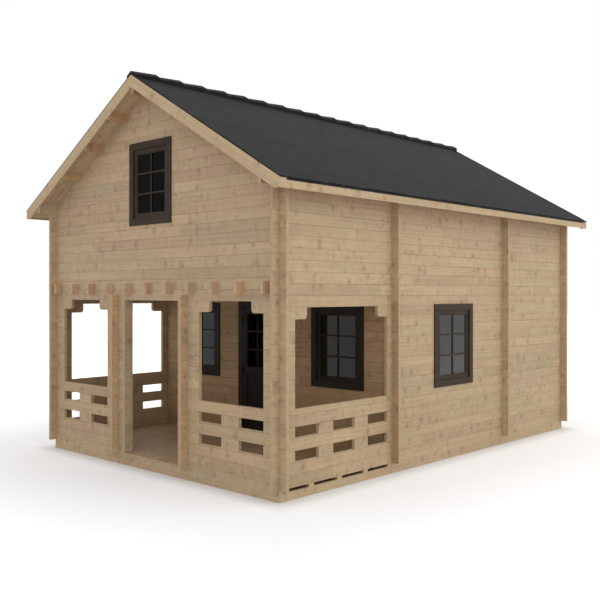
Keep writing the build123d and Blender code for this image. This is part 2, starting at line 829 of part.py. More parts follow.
side_y = front_y + side_window_offset
porch_windows = []
side_windows = []
for side in (-1, 1):
    face = wall_face(side * porch_window_centre, entrance_y, window_sill, window_height, (0, -1))
    porch_windows.append((face, porch_window_width, window_height))
    face = wall_face(side * half_w, side_y, window_sill, window_height, (side, 0))
    side_windows.append((face, side_window_width, window_height))
rear_face = wall_face(0, rear_y, window_sill, window_height, (0, 1))
side_windows.append((rear_face, side_window_width, window_height))
gable_windows = []
for end in (-1, 1):
    face = wall_face(0, end * half_d, gable_window_sill, gable_window_height, (0, end))
    gable_windows.append((face, gable_window_width, gable_window_height))

with BuildPart() as porch_window_frames:
    for window in porch_windows:
        add_window(*window)
porch_window_frames.part.label = "porch_window_frames"
export_step(porch_window_frames.part, "parts/porch_window_frames.step")

with BuildPart() as room_window_frames:
    for window in side_windows:
        add_window(*window)
room_window_frames.part.label = "room_window_frames"
export_step(room_window_frames.part, "parts/room_window_frames.step")

with BuildPart() as gable_window_frames:
    for window in gable_windows:
        add_window(*window)
gable_window_frames.part.label = "gable_window_frames"
export_step(gable_window_frames.part, "parts/gable_window_frames.step")

with BuildPart() as window_sashes:
    for window in porch_windows + side_windows + gable_windows:
        add_sash(*window)
window_sashes.part.label = "window_sashes"
export_step(window_sashes.part, "parts/window_sashes.step")

with BuildPart() as window_panes:
    for window in porch_windows + side_windows + gable_windows:
        add_pane(*window)
window_panes.part.label = "window_panes"
export_step(window_panes.part, "parts/window_panes.step")

# Entrance door frame: lining through the wall, casings on both faces and a threshold
lining_half = door_opening_half - door_lining
lining_top = door_opening_top - door_lining
casing_half = lining_half + casing_width
casing_top = lining_top + casing_width
with BuildPart() as entrance_door_frame:
    for depth in (0, -log_thickness - casing_thickness):
        with BuildSketch(entrance_plane.offset(depth)):
            span_box(-casing_half, casing_half, floor_top, casing_top)
            span_box(-lining_half, lining_half, floor_top, lining_top, Mode.SUBTRACT)
        extrude(amount=casing_thickness)
    with BuildSketch(entrance_plane):
        span_box(-door_opening_half, door_opening_half, floor_top, door_opening_top)
        span_box(-lining_half, lining_half, floor_top, lining_top, Mode.SUBTRACT)
    extrude(amount=-log_thickness)
    with BuildSketch(entrance_plane.offset(casing_thickness)):
        span_box(-lining_half, lining_half, floor_top, floor_top + door_threshold)
    extrude(amount=-log_thickness - casing_thickness)
entrance_door_frame.part.label = "entrance_door_frame"
export_step(entrance_door_frame.part, "parts/entrance_door_frame.step")

# Door leaf with a glazed upper part and a sunk lower panel
leaf_half = lining_half - door_gap
leaf_bottom = floor_top + door_threshold + door_gap
leaf_top = lining_top - door_gap
glass_half = leaf_half - door_stile
glass_top = leaf_top - door_stile
leaf_face = casing_thickness
leaf_plane = entrance_plane.offset(leaf_face)
with BuildPart() as entrance_door:
    with BuildSketch(leaf_plane):
        span_box(-leaf_half, leaf_half, leaf_bottom, leaf_top)
        span_box(-glass_half, glass_half, door_glass_bottom, glass_top, Mode.SUBTRACT)
    extrude(amount=-door_thickness)
    for face in (leaf_plane, leaf_plane.offset(-door_thickness + door_panel_inset)):
        with BuildSketch(face):
            span_box(-glass_half, glass_half, leaf_bottom + door_stile, door_glass_bottom - door_stile)
        extrude(amount=-door_panel_inset, mode=Mode.SUBTRACT)
entrance_door.part.label = "entrance_door"
export_step(entrance_door.part, "parts/entrance_door.step")

with BuildPart() as entrance_door_pane:
    with BuildSketch(leaf_plane.offset(-(door_thickness - glass_thickness) / 2)):
        span_box(-glass_half, glass_half, door_glass_bottom, glass_top)
    extrude(amount=-glass_thickness)
entrance_door_pane.part.label = "entrance_door_pane"
export_step(entrance_door_pane.part, "parts/entrance_door_pane.step")

# Lever handles on plates, one on each face of the leaf
handle_x = leaf_half - door_stile / 2
lever_height = handle_height + plate_height / 4
with BuildPart() as door_handles:
    for start, way in ((0, 1), (-door_thickness, -1)):
        face = leaf_plane.offset(start)
        with BuildSketch(face):
            with Locations((handle_x, handle_height)):
                Rectangle(plate_width, plate_height)
        extrude(amount=way * plate_thickness)
        with BuildSketch(face.offset(way * plate_thickness)):
            with Locations((handle_x, lever_height)):
                Rectangle(lever_width, lever_width)
        extrude(amount=way * lever_reach)
        with BuildSketch(face.offset(way * (plate_thickness + lever_reach))):
            with Locations((handle_x + (lever_width - lever_length) / 2, lever_height)):
                Rectangle(lever_length, lever_width)
        extrude(amount=-way * lever_thickness)
door_handles.part.label = "door_handles"
export_step(door_handles.part, "parts/door_handles.step")

# Barrel hinges on the leaf's left edge, standing in front of the casing
hinge_x = -lining_half + door_gap / 2
hinge_y = entrance_y - leaf_face - hinge_radius
hinge_levels = (leaf_bottom + hinge_inset, (leaf_bottom + leaf_top) / 2, leaf_top - hinge_inset)
with BuildPart() as door_hinges:
    for level in hinge_levels:
        with BuildSketch(Plane.XY.offset(level - hinge_length / 2)):
            with Locations((hinge_x, hinge_y)):
                Circle(hinge_radius)
        extrude(amount=hinge_length)
        with BuildSketch(leaf_plane):
            with Locations((hinge_x + hinge_plate / 2, level)):
                Rectangle(hinge_plate, hinge_length)
        extrude(amount=hinge_plate_thickness)
door_hinges.part.label = "door_hinges"
export_step(door_hinges.part, "parts/door_hinges.step")
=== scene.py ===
"""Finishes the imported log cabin: timber, shingles, glazing, door, and a plain studio stage.

Metres, +Z up, the porch faces -Y. Each operator in the Cabin panel dresses one group of pieces.
"""
import math

import bpy
from mathutils import Matrix, Vector


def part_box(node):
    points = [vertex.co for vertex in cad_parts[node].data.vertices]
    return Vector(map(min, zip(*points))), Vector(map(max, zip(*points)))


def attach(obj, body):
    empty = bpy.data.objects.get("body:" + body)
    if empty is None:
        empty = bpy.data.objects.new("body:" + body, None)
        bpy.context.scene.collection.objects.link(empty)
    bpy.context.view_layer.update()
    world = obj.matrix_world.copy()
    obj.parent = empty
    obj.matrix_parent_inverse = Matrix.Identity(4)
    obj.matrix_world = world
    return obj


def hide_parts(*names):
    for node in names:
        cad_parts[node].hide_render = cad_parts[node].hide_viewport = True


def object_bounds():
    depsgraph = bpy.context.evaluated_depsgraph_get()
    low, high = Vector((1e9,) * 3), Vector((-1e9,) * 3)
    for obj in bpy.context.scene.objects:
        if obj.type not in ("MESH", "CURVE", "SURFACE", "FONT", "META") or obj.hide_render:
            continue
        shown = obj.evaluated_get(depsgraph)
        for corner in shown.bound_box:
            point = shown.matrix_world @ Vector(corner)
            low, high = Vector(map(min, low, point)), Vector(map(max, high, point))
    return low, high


bl_info = {
    "name": "Log Cabin Finish",
    "version": (1, 0, 0),
    "blender": (4, 5, 0),
    "location": "View3D > Sidebar > Cabin",
    "description": "Timber, shingles, glazing and stage for a machined log cabin",
    "category": "Object",
}

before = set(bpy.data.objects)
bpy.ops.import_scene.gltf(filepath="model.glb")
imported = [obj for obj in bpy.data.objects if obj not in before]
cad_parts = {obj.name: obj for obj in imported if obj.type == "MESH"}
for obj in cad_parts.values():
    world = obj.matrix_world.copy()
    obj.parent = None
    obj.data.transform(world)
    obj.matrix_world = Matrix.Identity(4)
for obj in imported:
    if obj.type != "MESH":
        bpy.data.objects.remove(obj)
CAD_LOW, CAD_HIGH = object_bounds()
HOUSE = "house"
DOOR = "door"

# Logs: height of a course, the cross walls' shift, the outer faces of the walls and a log's end
COURSE = 0.135
CROSS_SHIFT = COURSE / 2
WALL_SIDE = 2.375
WALL_FACE = -3.445
LOG_END = -3.552

# Log and joist ends that stand out of the walls, and how far they reach in
SEAT = 0.0005
DOORWAY_LOG_NEAR = 0.721
DOORWAY_LOG_FAR = 0.765
DOORWAY_COURSES = 16
JOIST_PITCH = 0.44
JOIST_COUNT = 11
JOIST_HALF = 0.022
JOIST_LOW = 2.31
JOIST_HIGH = 2.455

# Roof: the solids' boxes, the slope, and its directions down and outwards on the right side
DECK_LOW, DECK_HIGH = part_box("roof_deck_right")
EAVE_LOW, EAVE_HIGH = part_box("roof_felt_right")
PITCH = math.radians(30.3)
ROOF_TOP = EAVE_HIGH.z
SLOPE_LENGTH = EAVE_HIGH.x / math.cos(PITCH)
DOWN = Vector((math.cos(PITCH), 0, -math.sin(PITCH)))
OUT = Vector((math.sin(PITCH), 0, math.cos(PITCH)))
SOFFIT_COUNT = 62

# Porch floor: board pitch and gap, half the doorway, back of the rail, back and side of the stub
BOARD_PITCH = 0.128
BOARD_GAP = 0.004
DOORWAY_HALF = 0.576
RAIL_BACK = -3.401
STUB_BACK = -3.315
STUB_SIDE = 0.6205

# Windows: middle, width and height of the glass, and the direction out of the wall
WINDOWS = {
    "porch_window_left": ((-1.447, -1.370, 1.597), 0.646, 0.860, (0, -1, 0)),
    "porch_window_right": ((1.447, -1.370, 1.597), 0.646, 0.860, (0, -1, 0)),
    "room_window_left": ((-2.353, 0.058, 1.597), 0.690, 0.860, (-1, 0, 0)),
    "room_window_right": ((2.353, 0.058, 1.597), 0.690, 0.860, (1, 0, 0)),
    "room_window_rear": ((0.0, 3.423, 1.597), 0.690, 0.860, (0, 1, 0)),
    "gable_window_front": ((0.0, -3.423, 3.767), 0.606, 0.804, (0, -1, 0)),
    "gable_window_rear": ((0.0, 3.423, 3.767), 0.606, 0.804, (0, 1, 0)),
}
PANE_HALF = 0.003
SASH_FACE = 0.020
SASH_WIDTH = 0.055
HINGE_RADIUS = 0.0055
HINGE_LENGTH = 0.075
HINGE_SHARE = 0.32

# Entrance door: sizes and middles of its glass and lower panel, faces the mouldings stand on
DOOR_GLASS = (0.696, 0.813)
DOOR_GLASS_MIDDLE = (0, -1.388, 1.6115)
DOOR_PANEL = (0.696, 0.827)
DOOR_PANEL_MIDDLE = 0.7015
DOOR_PANEL_FRONT = -1.398
DOOR_PANEL_BACK = -1.378
DOOR_FIELD = (0.265, 0.330)
FACING_FRONT = ((1, 0, 0), (0, 0, 1), (0, -1, 0))
FACING_BACK = ((-1, 0, 0), (0, 0, 1), (0, 1, 0))
# Depth of the entrance wall, near which stained joinery gets painted shade
ENTRANCE_WALL = -1.40

# Stage: name, place, size and power of each lamp, what they point at, and the camera
LAMPS = (
    ("key_lamp", (13.0, 7.0, 10.0), 18.0, 760.0),
    ("fill_lamp", (11.0, -14.0, 8.0), 16.0, 330.0),
    ("back_lamp", (-12.0, 12.0, 12.0), 14.0, 350.0),
)
LAMP_AIM = Vector((0, 0, 2.0))
CAMERA_PLACE = (8.693, -9.808, 2.314)
CAMERA_TURN = math.atan2(0.6864, 0.7272)
CAMERA_LENS = 48.7
CAMERA_SHIFT = -0.0103

# Nodes whose logs run across the cabin, those of them that get painted shade under the porch, and
# nodes along it
ACROSS = (
    "base_end_beams", "front_rails", "front_piers", "front_corbels", "front_gable", "rear_gable",
    "rear_wall", "partition_panels", "joist_plates", "loft_stubs",
)
PAINTED_SHADE_NODES = ("entrance_wall_panels", "door_headers")
ALONG = (
    "base_side_beams", "side_rails", "side_corner_piers", "side_corbels", "side_walls",
    "loft_side_walls", "wall_plates",
)


class CabinTimber(bpy.types.PropertyGroup):
    """Colours and grain of the bare timber."""

    sapwood: bpy.props.FloatVectorProperty(
        name="Sapwood", description="Pale colour between the grain lines",
        subtype="COLOR", size=3, min=0, max=1, default=(0.560, 0.432, 0.280),
    )
    summerwood: bpy.props.FloatVectorProperty(
        name="Summerwood", description="Darker colour of the grain lines",
        subtype="COLOR", size=3, min=0, max=1, default=(0.452, 0.318, 0.186),
    )
    knot: bpy.props.FloatVectorProperty(
        name="Knot", description="Colour of the knots",
        subtype="COLOR", size=3, min=0, max=1, default=(0.225, 0.128, 0.064),
    )
    end_grain: bpy.props.FloatVectorProperty(
        name="End grain", description="Colour of sawn log and joist ends",
        subtype="COLOR", size=3, min=0, max=1, default=(0.560, 0.410, 0.250),
    )
    knot_radius: bpy.props.FloatProperty(
        name="Knot radius", description="Mean radius of a knot",
        subtype="DISTANCE", unit="LENGTH", default=0.020, min=0.002, max=0.05,
    )


class CabinRoof(bpy.types.PropertyGroup):
    """Sizes and colours of the shingles."""

    exposure: bpy.props.FloatProperty(
        name="Exposure", description="Length of a shingle that shows below the next row",
        subtype="DISTANCE", unit="LENGTH", default=0.145, min=0.05, max=0.3,
    )
    tab: bpy.props.FloatProperty(
        name="Tab width", description="Width of one shingle tab with its slot",
        subtype="DISTANCE", unit="LENGTH", default=0.333, min=0.1, max=0.5,
    )
    slot: bpy.props.FloatProperty(
        name="Slot", description="Gap between two tabs",
        subtype="DISTANCE", unit="LENGTH", default=0.006, min=0.001, max=0.02,
    )
    thickness: bpy.props.FloatProperty(
        name="Thickness", description="Thickness of a shingle tab",
        subtype="DISTANCE", unit="LENGTH", default=0.004, min=0.001, max=0.01,
    )
    bedded: bpy.props.FloatProperty(
        name="Bedded", description="Share of a tab's thickness that is bedded in the felt",
        subtype="FACTOR", default=0.8, min=0, max=1,
    )
    granules: bpy.props.FloatVectorProperty(
        name="Granules", description="Colour of the mineral face",
        subtype="COLOR", size=3, min=0, max=1, default=(0.0158, 0.0158, 0.0163),
    )
    capping: bpy.props.FloatVectorProperty(
        name="Capping", description="Colour of ridge and edge felt",
        subtype="COLOR", size=3, min=0, max=1, default=(0.0045, 0.0047, 0.005),
    )


class CabinJoinery(bpy.types.PropertyGroup):
    """Sizes and colours of windows and door."""

    stain: bpy.props.FloatVectorProperty(
        name="Stain", description="Colour of the window frames and casings",
        subtype="COLOR", size=3, min=0, max=1, default=(0.040, 0.0255, 0.0155),
    )
    door_stain: bpy.props.FloatVectorProperty(
        name="Door stain", description="Colour of the door leaf",
        subtype="COLOR", size=3, min=0, max=1, default=(0.0095, 0.0065, 0.0048),
    )
    bar_width: bpy.props.FloatProperty(
        name="Bar width", description="Width of a glazing bar",
        subtype="DISTANCE", unit="LENGTH", default=0.022, min=0.01, max=0.06,
    )
    bar_depth: bpy.props.FloatProperty(
        name="Bar depth", description="How far a glazing bar stands off the glass",
        subtype="DISTANCE", unit="LENGTH", default=0.012, min=0.004, max=0.017,
    )
    bead: bpy.props.FloatProperty(
        name="Bead", description="Width of the glazing bead round a pane",
        subtype="DISTANCE", unit="LENGTH", default=0.014, min=0.005, max=0.03,
    )


# Node helpers

def add_node(tree, kind, **settings):
    """New shader node with its settings and plain input values."""
    node = tree.nodes.new(kind)
    values = settings.pop("values", {})
    for key, value in settings.items():
        setattr(node, key, value)
    for key, value in values.items():
        node.inputs[key].default_value = value
    return node


def fill(tree, socket, value):
    """Links a socket into an input, or writes a plain value there."""
    if isinstance(value, bpy.types.NodeSocket):
        tree.links.new(value, socket)
    elif value is not None:
        socket.default_value = value


def maths(tree, operation, first, second=None, third=None):
    """Math node whose inputs are numbers or sockets, and its result."""
    node = add_node(tree, "ShaderNodeMath", operation=operation)
    for socket, value in zip(node.inputs, (first, second, third)):
        fill(tree, socket, value)
    return node.outputs[0]


def times(tree, first, second):
    """Product of two numbers or sockets."""
    return maths(tree, "MULTIPLY", first, second)


def span(tree, value, low, high, to_low=0.0, to_high=1.0, smooth=True):
    """Map Range node from one span to another, and its result."""
    shape = "SMOOTHSTEP" if smooth else "LINEAR"
    node = add_node(tree, "ShaderNodeMapRange", interpolation_type=shape)
    names = ("Value", "From Min", "From Max", "To Min", "To Max")
    for name, part in zip(names, (value, low, high, to_low, to_high)):
        fill(tree, node.inputs[name], part)
    return node.outputs["Result"]


def mixed(tree, factor, first, second, blend="MIX"):
    """Colour Mix node whose inputs are colours or sockets, and its result."""
    node = add_node(tree, "ShaderNodeMix", data_type="RGBA", blend_type=blend)
    for index, value in ((0, factor), (6, first), (7, second)):
        fill(tree, node.inputs[index], value)
    return node.outputs[2]


def vector(tree, x, y, z):
    """Combine XYZ node whose inputs are numbers or sockets, and its result."""
    node = tree.nodes.new("ShaderNodeCombineXYZ")
    for socket, value in zip(node.inputs, (x, y, z)):
        fill(tree, socket, value)
    return node.outputs[0]


def shaded(tree, tone, level):
    """Colour made lighter or darker by a level."""
    return mixed(tree, 1.0, tone, vector(tree, level, level, level), "MULTIPLY")


def noise(tree, place, scale, detail=2.0, roughness=0.5):
    """Noise texture and its value."""
    values = {"Scale": scale, "Detail": detail, "Roughness": roughness}
    node = add_node(tree, "ShaderNodeTexNoise", values=values)
    tree.links.new(place, node.inputs["Vector"])
    return node.outputs["Fac"]


def luck_of(tree, x, y, z):
    """White noise node that gives each whole-numbered place its own value and colour."""
    node = add_node(tree, "ShaderNodeTexWhiteNoise", noise_dimensions="3D")
    tree.links.new(vector(tree, x, y, z), node.inputs["Vector"])
    return node


def object_place(tree):
    """Object coordinates of the surface."""
    return tree.nodes.new("ShaderNodeTexCoord").outputs["Object"]


def split(tree, place):
    """X, Y and Z of a vector."""
    node = tree.nodes.new("ShaderNodeSeparateXYZ")
    tree.links.new(place, node.inputs[0])
    return node.outputs


# Sockets of the node groups that hold a colour; the others hold a number
COLOUR_SOCKETS = ("Color", "Sapwood", "Summerwood", "Knot", "End grain")


def rgba(colour, factor=1.0):
    """Four-part colour from a three-part one, darkened or tinted by a factor."""
    factors = factor if isinstance(factor, tuple) else (factor, factor, factor)
    return tuple(part * times_by for part, times_by in zip(colour, factors)) + (1.0,)


def new_group(name, inputs, outputs):
    """Empty shader node group with named sockets, and its input and output nodes."""
    tree = bpy.data.node_groups.new(name, "ShaderNodeTree")
    for way, labels in (("INPUT", inputs), ("OUTPUT", outputs)):
        for label in labels:
            kind = "NodeSocketColor" if label in COLOUR_SOCKETS else "NodeSocketFloat"
            tree.interface.new_socket(name=label, in_out=way, socket_type=kind)
    return tree, tree.nodes.new("NodeGroupInput"), tree.nodes.new("NodeGroupOutput")


def pine_group():
    """Grain, knots and tint of planed pine, for boards that lie in courses.

    Each course is made of runs of its own length, tint and figure, and a fine joint shows
    where two courses meet.
    """
    found = bpy.data.node_groups.get("planed_pine")
    if found:
        return found
    tree, source, result = new_group(
        "planed_pine",
        (
            "Along", "Across", "Depth", "Course", "Shift", "Run", "Knot radius", "Joint",
            "Sapwood", "Summerwood", "Knot",
        ),
        ("Color", "Roughness", "Height"),
    )
    along, across, depth = (source.outputs[name] for name in ("Along", "Across", "Depth"))
    height, run_length = source.outputs["Course"], source.outputs["Run"]
    joint, knot = source.outputs["Joint"], source.outputs["Knot"]

    # Which log and which run of it this is: walls over half a metre apart differ
    wall_step, run_shift, figure_shift = 0.5, 9.0, 37.0
    shifted = maths(tree, "SUBTRACT", across, source.outputs["Shift"])
    course = maths(tree, "FLOOR", maths(tree, "DIVIDE", shifted, height))
    wall = maths(tree, "FLOOR", maths(tree, "DIVIDE", depth, wall_step))
    first = luck_of(tree, course, wall, 5.0)
    moved = maths(tree, "MULTIPLY_ADD", first.outputs["Value"], run_shift, along)
    run_place = maths(tree, "DIVIDE", moved, run_length)
    run = maths(tree, "FLOOR", run_place)
    luck = add_node(tree, "ShaderNodeSeparateColor")
    tree.links.new(luck_of(tree, course, run, wall).outputs["Color"], luck.inputs[0])
    seed = times(tree, luck.outputs[0], figure_shift)
    along = maths(tree, "ADD", along, seed)

    # Knots: cells per metre along and across, their mean, and the share of cells with none
    cells_along, cells_across, cells_mean, bare = 6.0, 4.4, 5.1, 0.62
    smallest, largest, wobble_width = 0.45, 1.5, 0.006
    knots = add_node(tree, "ShaderNodeTexVoronoi", voronoi_dimensions="2D", values={"Scale": 1.0})
    cell_across = maths(tree, "MULTIPLY_ADD", across, cells_across, times(tree, wall, 3.3))
    cell = vector(tree, times(tree, along, cells_along), cell_across, 0.0)
    tree.links.new(cell, knots.inputs["Vector"])
    traits = add_node(tree, "ShaderNodeSeparateColor")
    tree.links.new(knots.outputs["Color"], traits.inputs[0])
    wobble = noise(tree, vector(tree, along, across, depth), 55.0, 2.0)
    reach = maths(tree, "DIVIDE", knots.outputs["Distance"], cells_mean)
    reach = maths(tree, "SUBTRACT", reach, wobble_width / 2)
    reach = maths(tree, "MULTIPLY_ADD", wobble, wobble_width, reach)
    size = span(tree, traits.outputs[1], 0.0, 1.0, smallest, largest)
    radius = times(tree, source.outputs["Knot radius"], size)
    present = maths(tree, "GREATER_THAN", traits.outputs[0], bare)
    core = times(tree, present, span(tree, reach, times(tree, radius, 0.1), radius, 1.0, 0.0))
    halo = times(tree, present, span(tree, reach, radius, times(tree, radius, 3.4), 1.0, 0.0))

    # Grain lines per metre, broad and fine, which drift and bend round the knots
    broad_lines, fine_lines, drift_width, bend_width = 34.0, 230.0, 0.03, 0.007
    drift = noise(tree, vector(tree, times(tree, along, 0.7), across, depth), 3.0)
    bent = maths(tree, "MULTIPLY_ADD", drift, drift_width, across)
    bent = maths(tree, "MULTIPLY_ADD", halo, bend_width, bent)
    broad_place = vector(tree, times(tree, along, 0.7), times(tree, bent, broad_lines), seed)
    broad = noise(tree, broad_place, 1.0, 2.0, 0.55)
    fine_place = vector(
        tree, times(tree, along, 4.0), times(tree, bent, fine_lines), times(tree, depth, 90.0)
    )
    fine = noise(tree, fine_place, 1.0, 2.0, 0.6)
    lines = maths(tree, "MULTIPLY_ADD", broad, 0.62, times(tree, fine, 0.48))
    lines = span(tree, lines, 0.30, 0.92)

    # Tint of the run, a slow wash, blotches and soft patches
    wash = noise(tree, vector(tree, times(tree, along, 0.5), course, seed), 1.6, 2.0)
    blotch = noise(tree, vector(tree, times(tree, along, 2.2), across, seed), 5.0, 2.0)
    level = span(tree, luck.outputs[1], 0.0, 1.0, 0.92, 1.06, False)
    level = maths(tree, "ADD", level, span(tree, wash, 0.3, 0.7, -0.05, 0.04, False))
    level = maths(tree, "ADD", level, span(tree, blotch, 0.3, 0.7, -0.06, 0.04, False))
    tone = mixed(tree, lines, source.outputs["Sapwood"], source.outputs["Summerwood"])
    cool_tint, warm_tint = (0.985, 1.005, 0.985, 1.0), (1.03, 0.975, 0.97, 1.0)
    warm = mixed(tree, luck.outputs[2], cool_tint, warm_tint)
    tone = mixed(tree, 1.0, tone, warm, "MULTIPLY")
    tone = shaded(tree, tone, level)
    patch_place = vector(tree, times(tree, along, 13.0), times(tree, across, 5.0), seed)
    patch = noise(tree, patch_place, 1.0, 1.0)
    tone = mixed(tree, span(tree, patch, 0.60, 0.78, 0.0, 0.26), tone, knot)
    tone = mixed(tree, times(tree, halo, 0.17), tone, knot)
    tone = mixed(tree, times(tree, core, 0.64), tone, knot)

    # Joints between courses, and butts between the runs of one course
    gap = maths(tree, "PINGPONG", shifted, times(tree, height, 0.5))
    edge = times(tree, span(tree, gap, 0.001, 0.006, 1.0, 0.0), joint)
    butt = times(tree, maths(tree, "PINGPONG", run_place, 0.5), run_length)
    butt = times(tree, span(tree, butt, 0.0006, 0.0022, 1.0, 0.0), joint)
    seam = maths(tree, "MAXIMUM", edge, butt)
    tone = mixed(tree, seam, tone, knot)

    tree.links.new(tone, result.inputs["Color"])
    tree.links.new(span(tree, fine, 0.3, 0.7, 0.54, 0.68), result.inputs["Roughness"])
    relief = maths(tree, "MULTIPLY_ADD", core, 0.5, times(tree, lines, -0.6))
    relief = maths(tree, "SUBTRACT", relief, seam)
    tree.links.new(relief, result.inputs["Height"])
    return tree


def end_group():
    """Growth rings of sawn ends, measured from a pith under each course."""
    found = bpy.data.node_groups.get("sawn_end")
    if found:
        return found
    tree, source, result = new_group(
        "sawn_end", ("Side", "Up", "Course", "Shift", "End grain"), ("Color",)
    )
    ring_rate, ring_wobble, heart = 1500.0, 9.0, (0.26, 0.15, 0.075)
    side, height = source.outputs["Side"], source.outputs["Course"]
    lifted = maths(tree, "SUBTRACT", source.outputs["Up"], source.outputs["Shift"])
    course = maths(tree, "FLOOR", maths(tree, "DIVIDE", lifted, height))
    local = maths(tree, "SUBTRACT", lifted, times(tree, course, height))
    chance = add_node(tree, "ShaderNodeTexWhiteNoise", noise_dimensions="1D")
    tree.links.new(course, chance.inputs["W"])
    pith = span(tree, chance.outputs["Value"], 0.0, 1.0, -0.09, 0.02, False)
    up = maths(tree, "SUBTRACT", local, pith)
    squares = [maths(tree, "POWER", part, 2.0) for part in (up, side)]
    reach = maths(tree, "SQRT", maths(tree, "ADD", *squares))
    wobble = noise(tree, vector(tree, side, up, course), 18.0)
    turns = maths(tree, "MULTIPLY_ADD", reach, ring_rate, times(tree, wobble, ring_wobble))
    level = span(tree, maths(tree, "SINE", turns), -1.0, 1.0, 0.86, 1.08, False)
    tone = shaded(tree, source.outputs["End grain"], level)
    blotch = noise(tree, vector(tree, side, source.outputs["Up"], course), 22.0, 3.0)
    tone = mixed(tree, span(tree, blotch, 0.35, 0.75, 0.0, 0.35), tone, rgba(heart))
    tree.links.new(tone, result.inputs["Color"])
    return tree


# Materials

def blank_material(name):
    """New material with only a Principled shader and an output."""
    material = bpy.data.materials.new(name)
    material.use_nodes = True
    tree = material.node_tree
    tree.nodes.clear()
    shader = tree.nodes.new("ShaderNodeBsdfPrincipled")
    output = tree.nodes.new("ShaderNodeOutputMaterial")
    tree.links.new(shader.outputs[0], output.inputs["Surface"])
    return material, tree, shader


def surface(tree, shader, colour, roughness):
    """Links a colour and a roughness to the shader."""
    tree.links.new(colour, shader.inputs["Base Color"])
    tree.links.new(roughness, shader.inputs["Roughness"])


def raised(tree, shader, height, strength, distance):
    """Links a height to the shader's normal through a Bump node."""
    bump = add_node(tree, "ShaderNodeBump", values={"Strength": strength, "Distance": distance})
    tree.links.new(height, bump.inputs["Height"])
    tree.links.new(bump.outputs[0], shader.inputs["Normal"])


def timber(
    name, axes, course=COURSE, shift=0.0, tint=(1, 1, 1), turn=0.0, joint=0.10, run=2.3, end=None
):
    """Pine whose grain follows the first of three axes, with courses along the second.

    turn rolls the coordinates about the Y axis, for boards that follow the roof, joint is how
    dark the line between two courses is, run is the length of a log between two butts, and end
    is the colour of a sawn end.
    """
    tones = bpy.context.scene.cabin_timber
    material, tree, shader = blank_material(name)
    mapping = add_node(tree, "ShaderNodeMapping", values={"Rotation": (0.0, turn, 0.0)})
    tree.links.new(object_place(tree), mapping.inputs["Vector"])
    parts = split(tree, mapping.outputs[0])
    along, across, depth = (parts["XYZ".index(axis)] for axis in axes)

    pine = add_node(tree, "ShaderNodeGroup", node_tree=pine_group(), values={
        "Course": course, "Shift": shift, "Run": run, "Joint": joint,
        "Knot radius": tones.knot_radius, "Sapwood": rgba(tones.sapwood, tint),
        "Summerwood": rgba(tones.summerwood, tint), "Knot": rgba(tones.knot, tint),
    })
    for label, value in (("Along", along), ("Across", across), ("Depth", depth)):
        tree.links.new(value, pine.inputs[label])
    sawn = add_node(tree, "ShaderNodeGroup", node_tree=end_group(), values={
        "Course": course, "Shift": shift, "End grain": rgba(end or tones.end_grain),
    })
    tree.links.new(depth, sawn.inputs["Side"])
    tree.links.new(across, sawn.inputs["Up"])
    facing = split(tree, tree.nodes.new("ShaderNodeNewGeometry").outputs["Normal"])
    lengthwise = maths(tree, "ABSOLUTE", facing["XYZ".index(axes[0])])
    is_end = maths(tree, "GREATER_THAN", lengthwise, 0.8)
    colour = mixed(tree, is_end, pine.outputs["Color"], sawn.outputs["Color"])

    surface(tree, shader, colour, pine.outputs["Roughness"])
    raised(tree, shader, pine.outputs["Height"], 0.25, 0.0015)
    shader.inputs["Specular IOR Level"].default_value = 0.22
    return material


def stained(name, colour, painted_shade=1.0):
    """Dark stain with fine grain showing through, darker by a factor on the entrance wall as
    painted shade.
    """
    material, tree, shader = blank_material(name)
    place = object_place(tree)
    x, y, z = split(tree, place)
    flat = maths(tree, "ADD", x, y)
    upright_place = vector(tree, times(tree, flat, 190.0), times(tree, z, 5.0), 10.0)
    upright = noise(tree, upright_place, 1.0, 3.0)
    cloud = noise(tree, place, 6.0, 2.0)
    depth = maths(tree, "MULTIPLY_ADD", upright, 0.6, times(tree, cloud, 0.4))
    tone = mixed(tree, span(tree, depth, 0.35, 0.7), rgba(colour, 0.72), rgba(colour, 1.35))
    # Painted shade: within 0.10 to 0.20 m of the entrance wall the stain is darkened by the given
    # factor
    from_entrance = maths(tree, "ABSOLUTE", maths(tree, "SUBTRACT", y, ENTRANCE_WALL))
    painted_shade_level = span(tree, from_entrance, 0.10, 0.20, painted_shade, 1.0)
    tone = shaded(tree, tone, painted_shade_level)
    surface(tree, shader, tone, span(tree, upright, 0.3, 0.7, 0.48, 0.62))
    raised(tree, shader, upright, 0.3, 0.0008)
    shader.inputs["Specular IOR Level"].default_value = 0.16
    return material


def shingle_face():
    """Mineral granules with a tint of its own for each tab."""
    sizes = bpy.context.scene.cabin_roof
    material, tree, shader = blank_material("shingle_granules")
    place = object_place(tree)
    x, y = split(tree, place)[:2]
    slope = maths(tree, "DIVIDE", maths(tree, "ABSOLUTE", x), math.cos(PITCH))
    from_eave = maths(tree, "SUBTRACT", SLOPE_LENGTH, slope)
    row = maths(tree, "FLOOR", maths(tree, "DIVIDE", from_eave, sizes.exposure))
    stagger = times(tree, maths(tree, "MODULO", row, 2.0), 0.5)
    columns = maths(tree, "ADD", maths(tree, "DIVIDE", y, sizes.tab), stagger)
    column = maths(tree, "FLOOR", columns)
    chance = luck_of(tree, row, column, maths(tree, "SIGN", x))
    grit = noise(tree, place, 420.0, 2.0, 0.7)
    cloud = noise(tree, place, 2.2, 3.0)
    level = span(tree, chance.outputs["Value"], 0.0, 1.0, 0.86, 1.12, False)
    level = times(tree, level, span(tree, grit, 0.3, 0.7, 0.78, 1.24, False))
    level = times(tree, level, span(tree, cloud, 0.3, 0.7, 0.94, 1.07, False))
    tone = shaded(tree, rgba(sizes.granules), level)
    surface(tree, shader, tone, span(tree, grit, 0.3, 0.7, 0.82, 0.95))
    raised(tree, shader, grit, 0.5, 0.001)
    shader.inputs["Specular IOR Level"].default_value = 0.25
    return material


